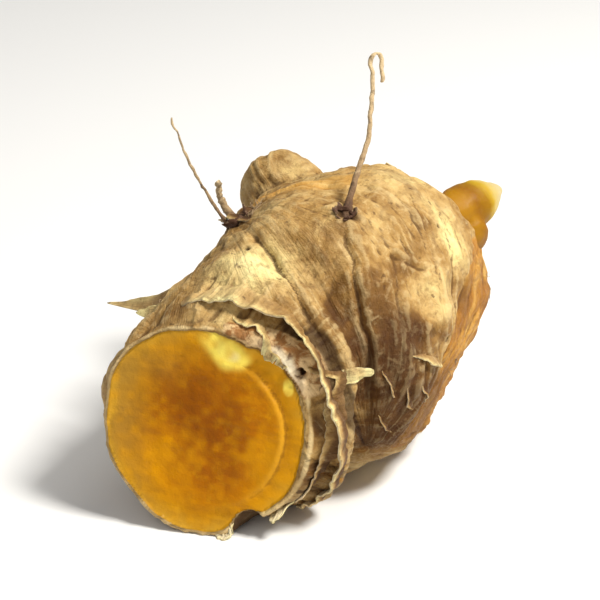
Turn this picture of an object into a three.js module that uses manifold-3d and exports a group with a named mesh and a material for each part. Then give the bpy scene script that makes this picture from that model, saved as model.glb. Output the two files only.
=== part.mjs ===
// A Javanese turmeric rhizome lying on its side: a round bulb that runs forward into a thick stub,
// which a knife has cut through. Millimetres, +Z up, the stub points along -Y.
// Everything is laid out round the bulb's centre, and the last lines set the whole on the table.
import * as THREE from "three";
import { mergeVertices } from "three/addons/utils/BufferGeometryUtils.js";
import { ImprovedNoise } from "three/addons/math/ImprovedNoise.js";
import Module from "manifold-3d";

// Driving dimensions. A station is a distance along the spine from the bulb's centre, negative
// towards the stub. An angle goes round the spine: 0 is +X, 90 is up, 180 is -X, 270 is down.
const BULB_RADIUS = 28.6;
const STUB_RADIUS = 20.4;
const CUT_STATION = -50;
const TAIL_STATION = 31;
const BULB_CENTRE = new THREE.Vector3(5.37, 12.5, 28);

// The knife cut faces forward, a little to +X and a little up.
const CUT_NORMAL = new THREE.Vector3(0.3, -0.92, 0.25).normalize();

// The fold between the stub and the bulb is deep on the +X side and fades out on the other.
const FOLD_STATION = -28;
const FOLD_DEPTH = 6.6;
const FOLD_WIDTH = 4;
const FOLD_SIDE = 10;
const COLLAR_STATION = -33.6;
const COLLAR_HEIGHT = 2.8;
const COLLAR_WIDTH = 2.1;
const COLLAR_SIDE = -28;

// The outer layers of the stub have broken away round the cut, most of all up and to +X.
const STEP_STATION = -35.8;
const STEP_DEPTH = 5.4;
const STEP_WIDTH = 0.7;
const STEP_SIDE = 44;

// A patch on the +X side where a daughter rhizome was broken off.
const SCAR_NORMAL = new THREE.Vector3(0.936, 0.168, -0.309).normalize();
const SCAR_DEPTH = 25.2;

// Ring scars of fallen leaves, as low folds round the bulb.
const RING_STATIONS = [-17, -7.5, 2.5, 12, 20, 26];
const RING_HEIGHT = 0.55;
const RING_WIDTH = 1.5;

// The shoot bud starts inside the bulb and points backwards and up.
const BUD_BASE = new THREE.Vector3(13.6, 20, 17);
const BUD_AIM = new THREE.Vector3(0.15, 0.97, 0.05).normalize();
const BUD_RADIUS = 4.9;
const BUD_LENGTH = 14.4;

const ROWS = 70;
const SIDES = 52;
const CLEARANCE = 0.35;
const BLADE_ROWS = 14;
const BLADE_SIDES = 12;
const ROOTLET_SIDES = 8;
const BIG = 200;

const COLOURS = {
  skin: { color: 0xb8935f, roughness: 0.85 },
  bud: { color: 0xe0c070, roughness: 0.5 },
  rootlet: { color: 0x5b4330, roughness: 0.9 },
  sheath: { color: 0xb39a74, roughness: 0.9 },
};

const wasm = await Module();
wasm.setup();
const noise = new ImprovedNoise();
const radians = THREE.MathUtils.degToRad;
const rhizome = new THREE.Group();

const spine = new THREE.CatmullRomCurve3([
  new THREE.Vector3(-4.6, -64, -9.6),
  new THREE.Vector3(-2.9, -48.5, -7.6),
  new THREE.Vector3(0.2, -30, -3.8),
  new THREE.Vector3(0.8, -14, -1),
  new THREE.Vector3(0, 0, 0),
  new THREE.Vector3(-0.8, 16, -0.4),
  new THREE.Vector3(-1.6, TAIL_STATION, -1.4),
  new THREE.Vector3(-2.2, TAIL_STATION + 10, -2),
]);

// The spine's point at a station, found by halving, because its Y only ever grows.
function spineAt(station) {
  let low = 0;
  let high = 1;
  for (let step = 0; step < 30; step++) {
    const middle = (low + high) / 2;
    if (spine.getPoint(middle).y < station) low = middle;
    else high = middle;
  }
  const forward = spine.getTangent(low);
  const side = new THREE.Vector3(1, 0, 0).addScaledVector(forward, -forward.x).normalize();
  const up = new THREE.Vector3().crossVectors(side, forward);
  return { point: spine.getPoint(low), side, up };
}

// A bell of height 1 at the middle, falling away over about width.
function bell(distance, width) {
  return Math.exp(-((distance / width) ** 2));
}

// 1 on the side that faces the angle given in degrees, 0 on the opposite side.
function facing(angle, degrees) {
  return 0.5 + 0.5 * Math.cos(angle - radians(degrees));
}

// How far the skin stands out of, or sinks under, the plain turned outline.
function relief(station, angle) {
  const shift = 4.5 * Math.sin(angle) - 1.5 * Math.cos(angle);
  const foldSide = facing(angle, FOLD_SIDE) ** 1.5;
  const fold = -FOLD_DEPTH * foldSide * bell(station - FOLD_STATION - shift, FOLD_WIDTH);
  const back = shift + 2.2 * facing(angle, 38) ** 3;
  const collarSide = facing(angle, COLLAR_SIDE) ** 2;
  const collar = COLLAR_HEIGHT * collarSide * bell(station - COLLAR_STATION - back, COLLAR_WIDTH);
  const stepSide = facing(angle, STEP_SIDE) ** 1.5;
  const stepWidth = STEP_WIDTH + 3 * facing(angle, 140) ** 2;
  const step = (-STEP_DEPTH * stepSide) / (1 + Math.exp((station - STEP_STATION - back) / stepWidth));
  const swell = 1.2 * facing(angle, -60) ** 2 * bell(station + 46, 9);
  const shoulder = 4.6 * facing(angle, 132) ** 5 * bell(station + 53, 15);
  const dent = -3.8 * facing(angle, -142) ** 4 * bell(station + 64, 11);
  const keel = 1.8 * facing(angle, -76) ** 12 * bell(station + 57, 8);
  const belly = 1.3 * facing(angle, 268) ** 6 * bell(station - 8, 11);
  const flank = -1.4 * facing(angle, -20) ** 2 * bell(station - 2, 18);
  let rings = 0;
  for (const ring of RING_STATIONS) {
    const waver = 1.6 * Math.sin(angle + ring) + 0.8 * Math.sin(3 * angle + 2 * ring);
    rings += RING_HEIGHT * bell(station - ring - waver, RING_WIDTH);
  }
  return fold + collar + step + swell + shoulder + dent + keel + belly + flank + rings;
}

// Broad lumps, as the same function of place for every piece that follows the skin.
function lumps(x, y, z) {
  const broad = noise.noise(x / 17 + 3.1, y / 19 + 7.7, z / 17 + 1.3);
  const small = noise.noise(x / 7 + 11.5, y / 7.5 + 2.2, z / 7 + 5.9);
  return 1.8 * broad + 0.7 * small;
}

// The point that lies lift outside the skin of the turned outline, which is radius thick there.
function skinPoint(station, angle, radius, lift = 0) {
  const { point, side, up } = spineAt(station);
  const taper = Math.min(1, radius / 12);
  const thick = radius + taper * relief(station, angle);
  const out = side.clone().multiplyScalar(Math.cos(angle)).addScaledVector(up, Math.sin(angle));
  const bare = point.clone().addScaledVector(out, thick);
  return bare.addScaledVector(out, taper * lumps(bare.x, bare.y, bare.z) + lift);
}

const outline = new THREE.SplineCurve(
  [
    [0, -66],
    [12, -66],
    [19, -62],
    [STUB_RADIUS, -55],
    [20.8, -48],
    [21.2, -42],
    [22.6, -37],
    [24.8, -31],
    [26.6, -24],
    [27.9, -14],
    [BULB_RADIUS, -3],
    [27.9, 7],
    [25, 15.5],
    [20.3, 22],
    [14, 27],
    [8.5, 29.2],
    [6.5, TAIL_STATION],
    [3, TAIL_STATION + 1.2],
    [0, TAIL_STATION + 1.4],
  ].map(([radius, station]) => new THREE.Vector2(radius, station)),
);
const outlinePoints = outline.getSpacedPoints(240);

// The outline's radius at a station, between two of its sampled points.
function outlineRadius(station) {
  const after = outlinePoints.findIndex((point) => point.y > station);
  const [a, b] = [outlinePoints[after - 1], outlinePoints[after]];
  return THREE.MathUtils.mapLinear(station, a.y, b.y, a.x, b.x);
}

function onSkin(station, angle, lift) {
  return skinPoint(station, angle, outlineRadius(station), lift);
}

function bareMesh(geometry) {
  geometry.deleteAttribute("normal");
  geometry.deleteAttribute("uv");
  return mergeVertices(geometry, 1e-4);
}

function solidOf(geometry) {
  const merged = bareMesh(geometry);
  return new wasm.Manifold(
    new wasm.Mesh({
      numProp: 3,
      vertProperties: merged.attributes.position.array,
      triVerts: new Uint32Array(merged.index.array),
    }),
  );
}

function geometryOf(solid) {
  const { vertProperties, triVerts } = solid.getMesh();
  const geometry = new THREE.BufferGeometry();
  geometry.setAttribute("position", new THREE.BufferAttribute(vertProperties, 3));
  geometry.setIndex(new THREE.BufferAttribute(triVerts, 1));
  geometry.computeVertexNormals();
  return geometry;
}

function addPiece(name, geometry, look) {
  const material = new THREE.MeshStandardMaterial({ ...COLOURS[look], metalness: 0 });
  const mesh = new THREE.Mesh(geometry, material);
  mesh.name = name;
  rhizome.add(mesh);
}

// Moves every vertex of a geometry to where place() puts it.
function reshape(geometry, place) {
  const at = geometry.attributes.position;
  const vertex = new THREE.Vector3();
  for (let i = 0; i < at.count; i++) {
    const moved = place(vertex.fromBufferAttribute(at, i));
    at.setXYZ(i, moved.x, moved.y, moved.z);
  }
  return geometry;
}

// Everything beyond a plane, as a big box to take away.
function beyond(normal, point) {
  const box = new THREE.BoxGeometry(BIG, BIG, BIG).translate(0, 0, BIG / 2);
  const turn = new THREE.Quaternion().setFromUnitVectors(new THREE.Vector3(0, 0, 1), normal);
  return solidOf(box.applyQuaternion(turn).translate(point.x, point.y, point.z));
}

// The stub and the bulb: one turned outline, bent along the spine.
function stubAndBulb(lift) {
  const turned = bareMesh(new THREE.LatheGeometry(outline.getSpacedPoints(ROWS), SIDES));
  return solidOf(
    reshape(turned, (vertex) => {
      const radius = Math.hypot(vertex.x, vertex.z);
      const outward = radius > 0 ? lift : 0;
      return skinPoint(vertex.y, Math.atan2(vertex.z, vertex.x), radius, outward);
    }),
  );
}

// A side knob: a lumpy ball with its own radii.
function knob(centre, radii, lift) {
  const ball = bareMesh(new THREE.IcosahedronGeometry(1, 8));
  return solidOf(
    reshape(ball, (vertex) => {
      const swell = 1 + 0.06 * noise.noise(2 * vertex.x + centre.x, 2 * vertex.y, 2 * vertex.z);
      return vertex.clone().multiply(radii.clone().addScalar(lift)).multiplyScalar(swell).add(centre);
    }),
  );
}

// The one grown piece. With a lift it is the same shape grown fatter, for clearing the trim.
function makeBody(lift = 0) {
  const cutPoint = spineAt(CUT_STATION).point.addScaledVector(CUT_NORMAL, lift);
  const scarPoint = SCAR_NORMAL.clone().multiplyScalar(SCAR_DEPTH + lift);
  const tablePoint = new THREE.Vector3(0, 0, -BULB_CENTRE.z - lift);
  return stubAndBulb(lift)
    .add(knob(new THREE.Vector3(-22.5, 10, 17.6), new THREE.Vector3(9.5, 8.5, 9), lift))
    .add(knob(new THREE.Vector3(-18, 17, -12), new THREE.Vector3(9, 9, 8.5), lift))
    .subtract(beyond(CUT_NORMAL, cutPoint))
    .subtract(beyond(SCAR_NORMAL, scarPoint))
    .subtract(beyond(new THREE.Vector3(0, 0, -1), tablePoint));
}

const body = makeBody();
const keepOut = makeBody(CLEARANCE);
addPiece("rhizome", geometryOf(body), "skin");

// Takes the fatter body and the table out of a trim solid and keeps the biggest piece left.
function clearOfBody(solid) {
  const tablePoint = new THREE.Vector3(0, 0, CLEARANCE - BULB_CENTRE.z);
  const underTable = beyond(new THREE.Vector3(0, 0, -1), tablePoint);
  const left = solid.subtract(keepOut).subtract(underTable).decompose();
  return left.sort((a, b) => b.volume() - a.volume())[0];
}

// The shoot bud, a pointed cone whose skin is also a surface that its scales follow.
const budOutline = new THREE.SplineCurve(
  [
    [0, -6],
    [3.6, -5.6],
    [4.6, -2],
    [BUD_RADIUS, 2.5],
    [4.1, 7.5],
    [2.3, 11.6],
    [0.9, 13.8],
    [0, BUD_LENGTH],
  ].map(([radius, station]) => new THREE.Vector2(radius, station)),
);
const budSide = new THREE.Vector3(1, 0, 0).addScaledVector(BUD_AIM, -BUD_AIM.x).normalize();
const budUp = new THREE.Vector3().crossVectors(budSide, BUD_AIM);

function budPoint(station, angle, radius, lift = 0) {
  const sag = -0.012 * Math.max(0, station) ** 2;
  return BUD_BASE.clone()
    .addScaledVector(BUD_AIM, station)
    .addScaledVector(budSide, Math.cos(angle) * (radius + lift))
    .addScaledVector(budUp, Math.sin(angle) * (0.9 * radius + lift) - sag);
}

function makeBud() {
  const turned = bareMesh(new THREE.LatheGeometry(budOutline.getSpacedPoints(22), 24));
  return solidOf(
    reshape(turned, (vertex) =>
      budPoint(vertex.y, Math.atan2(vertex.z, vertex.x), Math.hypot(vertex.x, vertex.z)),
    ),
  );
}
addPiece("shoot_bud", geometryOf(clearOfBody(makeBud())), "bud");

function onBud(station, angle, lift) {
  const t = THREE.MathUtils.clamp((station + 2) / (BUD_LENGTH + 2), 0, 1);
  return budPoint(station, angle, BUD_RADIUS * (1 - t ** 2.6), lift);
}

// A dry sheath: a thin blade that follows a surface from one place to another. Its places are
// [station, degrees]. One edge can flare off the surface, and its tip can curl away.
function addSheath(name, shape, surface = onSkin, around = 22) {
  const { from, to, width, lift = 0.75, flare = 0, curl = 0, blunt = 0.5, thick = 0.5 } = shape;
  const start = new THREE.Vector2(from[0], radians(from[1]) * around);
  const end = new THREE.Vector2(to[0], radians(to[1]) * around);
  const aim = end.clone().sub(start).normalize();
  const across = new THREE.Vector2(-aim.y, aim.x);
  const length = start.distanceTo(end);
  const profile = [];
  for (let row = 0; row <= BLADE_ROWS; row++) {
    const t = row / BLADE_ROWS;
    const ragged = 1 + 0.16 * Math.sin(9 * t + start.x) + 0.1 * Math.sin(21 * t + start.y);
    profile.push(new THREE.Vector2(Math.sin(Math.PI * t) ** blunt * ragged, t));
  }
  profile[0].x = 0;
  profile[BLADE_ROWS].x = 0;
  const blade = bareMesh(new THREE.LatheGeometry(profile, BLADE_SIDES));
  reshape(blade, (vertex) => {
    const side = vertex.x;
    const place = start.clone().addScaledVector(aim, vertex.y * length);
    place.addScaledVector(across, side * width * 0.5);
    const raise = lift + flare * Math.max(0, side) ** 1.5 + curl * vertex.y ** 2;
    return surface(place.x, place.y / around, raise - vertex.z * thick * 0.5);
  });
  addPiece(name, geometryOf(clearOfBody(solidOf(blade))), "sheath");
}

// A root: a thin tapering stem swept along a smooth curve, rooted just off the skin.
function addRoot(name, points, thickness) {
  const path = new THREE.CatmullRomCurve3(points);
  const rows = 4 * (points.length - 1);
  const profile = [new THREE.Vector2(0, 0)];
  for (let row = 0; row <= rows; row++) {
    const t = row / rows;
    const radius = 0.5 * thickness * (0.62 + 0.38 * (1 - t) ** 2 + 0.9 * bell(t, 0.06));
    profile.push(new THREE.Vector2(radius, t));
  }
  profile.push(new THREE.Vector2(0, 1));
  const stem = bareMesh(new THREE.LatheGeometry(profile, ROOTLET_SIDES));
  const frames = path.computeFrenetFrames(rows);
  reshape(stem, (vertex) => {
    const row = Math.round(vertex.y * rows);
    return path
      .getPointAt(vertex.y)
      .addScaledVector(frames.normals[row], vertex.x)
      .addScaledVector(frames.binormals[row], -vertex.z);
  });
  addPiece(name, geometryOf(clearOfBody(solidOf(stem))), "rootlet");
}

// A root that leaves the skin squarely and bends towards a lean.
function addSkinRoot(name, [station, degrees], length, thickness, lean) {
  const base = onSkin(station, radians(degrees), 0);
  const out = onSkin(station, radians(degrees), 1).sub(base);
  const bend = new THREE.Vector3(...lean);
  const points = [0, 0.16, 0.36, 0.6, 0.82, 1].map((t) => {
    const wander = 0.07 * length * t * noise.noise(station + 3 * t, degrees / 9, 4 * t);
    const point = base.clone().addScaledVector(out, length * (t - 0.45 * t * t) + wander);
    return point.addScaledVector(bend, length * t * t).add(new THREE.Vector3(wander, -wander, 0));
  });
  addRoot(name, points, thickness);
}

// The long root on top ends in a hairpin, where its dry tip has folded back.
const longRoot = [
  [7.2, -14.9, 26.4],
  [6.8, -12.8, 29.4],
  [6.1, -7.8, 34.7],
  [5.2, -2.6, 38.5],
  [4.3, 0.2, 41.8],
  [1.6, 5.9, 47.1],
  [-0.3, 8.7, 51.2],
  [-0.1, 10.3, 52.6],
  [1, 10.8, 51.1],
  [2.3, 8.4, 47],
].map(([x, y, z]) => new THREE.Vector3(x, y, z));
addRoot("root_long", longRoot, 1.5);

addSkinRoot("root_tuft", [-9, 137], 12, 2.2, [0.1, 0, 0.35]);
addSkinRoot("root_tuft_thread", [-12, 136], 20, 0.9, [-0.2, -0.1, 0.75]);
addSkinRoot("root_side", [-15, 192], 13, 1.2, [-0.1, -0.2, -0.1]);
addSkinRoot("root_low", [-2, 205], 10, 1.6, [-0.2, 0.2, -0.2]);
addSkinRoot("root_back", [24, 150], 11, 1.3, [0, 0.5, -0.3]);
addSkinRoot("root_tail", [26, 205], 9, 1.5, [-0.1, 0.5, -0.1]);

// Torn leaf sheaths round the stub, and scraps of them on the bulb.
addSheath("collar_outer", { from: [-38, -62], to: [-30.8, 62], width: 3.6, lift: 0.9 });
addSheath("collar_inner", { from: [-43, -48], to: [-37.2, 46], width: 2.6, lift: 1, flare: 0.5 });
addSheath("collar_tear", { from: [-34.4, 62], to: [-41.4, 46], width: 4.6, lift: 1, curl: 1.2 });
addSheath("collar_tab", { from: [-28, 6], to: [-34, 2], width: 4, lift: 1.6, curl: 1.4 });
addSheath("flap_left", { from: [-31, 146], to: [-36, 168], width: 4.6, curl: 16, blunt: 0.7 });
addSheath("curl_left", { from: [-37, 154], to: [-44, 166], width: 2.4, curl: 4, blunt: 0.7 });
addSheath("curl_low", { from: [-47, -50], to: [-52, -66], width: 3.4, curl: 1.4, lift: 0.9 });
addSheath("scrap_top", { from: [-14, 122], to: [-5, 133], width: 4, curl: 1.2, lift: 0.8 });
addSheath("scrap_back", { from: [24, 84], to: [19, 100], width: 5, curl: 0.6, lift: 0.8 });
addSheath("bud_scale_low", { from: [1, 190], to: [5.4, 300], width: 4.4, lift: 0.7 }, onBud, 4.6);
addSheath("bud_scale_top", { from: [2.6, 20], to: [4.6, 120], width: 3, lift: 0.7 }, onBud, 4.6);

rhizome.position.copy(BULB_CENTRE);
export default rhizome;
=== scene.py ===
import math

import bpy
import numpy as np
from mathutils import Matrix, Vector
from mathutils.bvhtree import BVHTree


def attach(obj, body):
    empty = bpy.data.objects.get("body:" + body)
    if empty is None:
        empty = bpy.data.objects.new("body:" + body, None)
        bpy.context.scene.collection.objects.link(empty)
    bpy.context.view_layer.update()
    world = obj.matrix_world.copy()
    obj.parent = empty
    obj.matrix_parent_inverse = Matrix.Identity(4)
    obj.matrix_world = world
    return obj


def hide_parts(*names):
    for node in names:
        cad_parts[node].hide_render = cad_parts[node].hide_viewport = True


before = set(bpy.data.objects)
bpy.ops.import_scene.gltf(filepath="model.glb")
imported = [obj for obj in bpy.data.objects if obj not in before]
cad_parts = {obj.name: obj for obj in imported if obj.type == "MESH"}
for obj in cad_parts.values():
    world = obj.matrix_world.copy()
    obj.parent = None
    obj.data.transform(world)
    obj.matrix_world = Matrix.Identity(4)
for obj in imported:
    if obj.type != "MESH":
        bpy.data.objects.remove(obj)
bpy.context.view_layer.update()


def unit(x, y, z):
    v = np.array([x, y, z], float)
    return v / np.linalg.norm(v)


# The rhizome is laid out in millimetres round the centre of its bulb. A station is a distance
# along the spine, negative towards the cut stub; degrees go round the spine, 0 towards +X, 90 up.
MM = 0.001
BULB_CENTRE = np.array([5.37, 12.5, 28.0])
TABLE_HEIGHT = -BULB_CENTRE[2]
CUT_STATION = -50.0
CUT_NORMAL = unit(0.3, -0.92, 0.25)
SCAR_NORMAL = unit(0.936, 0.168, -0.309)
SCAR_DEPTH = 25.2
SPINE_KNOTS = np.array(
    [
        [-4.6, -64, -9.6],
        [-2.9, -48.5, -7.6],
        [0.2, -30, -3.8],
        [0.8, -14, -1],
        [0, 0, 0],
        [-0.8, 16, -0.4],
        [-1.6, 31, -1.4],
        [-2.2, 41, -2],
    ]
)
BUD_BASE = np.array([13.6, 20.0, 17.0])
BUD_AIM = unit(0.15, 0.97, 0.05)
BUD_LENGTH = 14.4

# The skin is unrolled on a sleeve of this radius, so that an angle becomes a length.
SLEEVE_RADIUS = 25.0

ROUGH_GRAIN = 0.8
SKIN_GRAIN = 0.49
BUD_GRAIN = 0.3
rng = np.random.default_rng(7)


# ---------------------------------------------------------------- plain helpers


def deselect():
    bpy.ops.object.select_all(action="DESELECT")


def only(piece):
    """Selects a piece alone and makes it the active one."""
    deselect()
    piece.select_set(True)
    bpy.context.view_layer.objects.active = piece


def srgb(red, green, blue):
    """A colour given as it looks on a screen, 0 to 255, as the linear colour a shader takes."""
    c = np.array([red, green, blue]) / 255
    lin = np.where(c <= 0.04045, c / 12.92, ((c + 0.055) / 1.055) ** 2.4)
    return (*[float(v) for v in lin], 1.0)


def hashed(i, j, k, seed):
    """A number between -1 and 1 for each corner of a grid, the same on every run."""
    n = (i * 73856093) ^ (j * 19349663) ^ (k * 83492791) ^ (seed * 374761393)
    n = (n & 0xFFFFFFFF).astype(np.uint64)
    n = ((n ^ (n >> np.uint64(13))) * np.uint64(1274126177)) & np.uint64(0xFFFFFFFF)
    n = ((n ^ (n >> np.uint64(15))) * np.uint64(2246822519)) & np.uint64(0xFFFFFFFF)
    return (n ^ (n >> np.uint64(16))).astype(float) / 0xFFFFFFFF * 2 - 1


def ripple(points, size, seed):
    """Smooth noise between about -1 and 1, with bumps of the given size in millimetres."""
    p = np.asarray(points, float) / size + seed * 7.31
    cell = np.floor(p).astype(np.int64)
    t = p - cell
    t = t * t * t * (t * (t * 6 - 15) + 10)
    total = 0
    for dx in (0, 1):
        for dy in (0, 1):
            for dz in (0, 1):
                corner = hashed(cell[:, 0] + dx, cell[:, 1] + dy, cell[:, 2] + dz, seed)
                weights = [t[:, i] if far else 1 - t[:, i] for i, far in enumerate((dx, dy, dz))]
                total = total + weights[0] * weights[1] * weights[2] * corner
    return total


def ripples(points, *layers):
    """Ripples laid over each other, each given as a strength, a size and a seed."""
    return sum(strength * ripple(points, size, seed) for strength, size, seed in layers)


def smooth(low, high, value):
    """0 at low and 1 at high, with a soft start and end."""
    t = np.clip((value - low) / (high - low), 0, 1)
    return t * t * (3 - 2 * t)


def bell(distance, width):
    return np.exp(-((distance / width) ** 2))


def turn_from(angle, about):
    """The turn from one angle to another, never more than half a turn."""
    return (angle - about + math.pi) % (2 * math.pi) - math.pi


def wrapped(along, angle, grain=1.0):
    """Places wrapped round the spine, where noise has no seam."""
    return np.stack([along, np.cos(angle) * grain, np.sin(angle) * grain], 1)


# ---------------------------------------------------------------- the spine


def run_spine():
    """Points close together on a smooth curve through the knots."""
    first, last = 2 * SPINE_KNOTS[0] - SPINE_KNOTS[1], 2 * SPINE_KNOTS[-1] - SPINE_KNOTS[-2]
    k = np.vstack([first, SPINE_KNOTS, last])
    made = []
    for a, b, c, d in zip(k[:-3], k[1:-2], k[2:-1], k[3:]):
        ab, bc, cd = (np.linalg.norm(v) ** 0.5 for v in (b - a, c - b, d - c))
        leave = ((b - a) / ab - (c - a) / (ab + bc) + (c - b) / bc) * bc
        reach = ((c - b) / bc - (d - b) / (bc + cd) + (d - c) / cd) * bc
        t = np.linspace(0, 1, 40, endpoint=False)[:, None]
        from_b = (2 * t**3 - 3 * t**2 + 1) * b + (t**3 - 2 * t**2 + t) * leave
        made.append(from_b + (3 * t**2 - 2 * t**3) * c + (t**3 - t**2) * reach)
    return np.vstack(made + [k[-2:-1]])


SPINE = run_spine()
SPINE_AIM = np.gradient(SPINE, axis=0)
SPINE_AIM /= np.linalg.norm(SPINE_AIM, axis=1)[:, None]


def spine_at(station):
    """The spine's place at a station, its direction, and the directions of 0 and 90 degrees."""
    at = np.stack([np.interp(station, SPINE[:, 1], SPINE[:, i]) for i in range(3)], -1)
    aim = np.stack([np.interp(station, SPINE[:, 1], SPINE_AIM[:, i]) for i in range(3)], -1)
    aim /= np.linalg.norm(aim, axis=-1, keepdims=True)
    side = np.array([1.0, 0, 0]) - aim * aim[..., :1]
    side /= np.linalg.norm(side, axis=-1, keepdims=True)
    return at, aim, side, np.cross(side, aim)


def spoke(station, degrees):
    """The spine's place at a station, and the direction away from it at an angle."""
    at, _aim, side, up = spine_at(station)
    turn = math.radians(degrees)
    return at, side * math.cos(turn) + up * math.sin(turn)


def spine_places(points):
    """Station, angle in radians and distance from the spine of each point."""
    station = points[:, 1].copy()
    for _ in range(5):
        at, aim, _side, _up = spine_at(station)
        station = station + ((points - at) * aim).sum(1) * aim[:, 1]
    at, _aim, side, up = spine_at(station)
    out = points - at
    x, y = (out * side).sum(1), (out * up).sum(1)
    return station, np.arctan2(y, x), np.hypot(x, y)


CUT_CENTRE = spine_at(CUT_STATION)[0]
CUT_RIGHT = unit(*np.cross([0, 0, 1.0], CUT_NORMAL))
CUT_UP = np.cross(CUT_NORMAL, CUT_RIGHT)


def in_the_cut(x, y, depth):
    """The place x across and y up the cut face, depth millimetres behind it."""
    return CUT_CENTRE + CUT_RIGHT * x + CUT_UP * y - CUT_NORMAL * depth


# ---------------------------------------------------------------- meshes


def read(items, key, width=3, kind=float):
    values = np.empty(len(items) * width, kind)
    items.foreach_get(key, values)
    return values.reshape(-1, width)


def read_points(piece):
    return read(piece.data.vertices, "co") / MM - BULB_CENTRE


def write_points(piece, points):
    piece.data.vertices.foreach_set("co", ((points + BULB_CENTRE) * MM).astype(np.float32).ravel())
    piece.data.update()


def read_normals(piece):
    return read(piece.data.vertices, "normal")


def mark(piece, name, values):
    """Paints one value per point, for the materials to read."""
    layer = piece.data.attributes.new(name, "FLOAT", "POINT")
    layer.data.foreach_set("value", np.asarray(values, np.float32))


def mark_vector(piece, name, values):
    layer = piece.data.attributes.new(name, "FLOAT_VECTOR", "POINT")
    layer.data.foreach_set("vector", np.asarray(values, np.float32).ravel())


def spread(values, edges, rounds):
    """Averages a value or a place with its neighbours, again and again."""
    count = np.maximum(np.bincount(edges.ravel(), minlength=len(values)).astype(float), 1)
    if values.ndim == 2:
        count = count[:, None]
    for _ in range(rounds):
        total = np.zeros_like(values)
        np.add.at(total, edges[:, 0], values[edges[:, 1]])
        np.add.at(total, edges[:, 1], values[edges[:, 0]])
        values = 0.5 * values + 0.5 * total / count
    return values


def welded_copy(node, name):
    """A new piece with the shape of a CAD solid, its corners welded."""
    piece = bpy.data.objects.new(name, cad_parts[node].data.copy())
    bpy.context.scene.collection.objects.link(piece)
    piece.data.name = name
    piece.data.materials.clear()
    for layer in list(piece.data.uv_layers):
        piece.data.uv_layers.remove(layer)
    only(piece)
    bpy.ops.object.mode_set(mode="EDIT")
    bpy.ops.mesh.select_all(action="SELECT")
    bpy.ops.mesh.remove_doubles(threshold=1e-6)
    bpy.ops.mesh.normals_make_consistent(inside=False)
    bpy.ops.object.mode_set(mode="OBJECT")
    return piece


def apply_modifier(piece, kind, **settings):
    only(piece)
    modifier = piece.modifiers.new(kind.lower(), kind)
    for key, value in settings.items():
        setattr(modifier, key, value)
    bpy.ops.object.modifier_apply(modifier=modifier.name)


def remesh(piece, grain):
    """Rebuilds a piece in even faces, grain millimetres wide."""
    apply_modifier(piece, "REMESH", mode="VOXEL", voxel_size=grain * MM, adaptivity=0)


def finish_piece(piece, material, nodes):
    piece.data.materials.clear()
    piece.data.materials.append(material)
    only(piece)
    bpy.ops.object.shade_smooth()
    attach(piece, "root")
    if nodes:
        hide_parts(*nodes)


# ---------------------------------------------------------------- node groups and materials


def group_with(name, inputs, outputs):
    """An empty node group with named sockets, each given as a kind: Vector, Float or Color."""
    tree = bpy.data.node_groups.new(name, "ShaderNodeTree")
    for way, sockets in (("INPUT", inputs), ("OUTPUT", outputs)):
        for label, kind in sockets.items():
            tree.interface.new_socket(label, in_out=way, socket_type="NodeSocket" + kind)
    return Desk(tree), tree.nodes.new("NodeGroupInput").outputs, tree.nodes.new("NodeGroupOutput")


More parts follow.
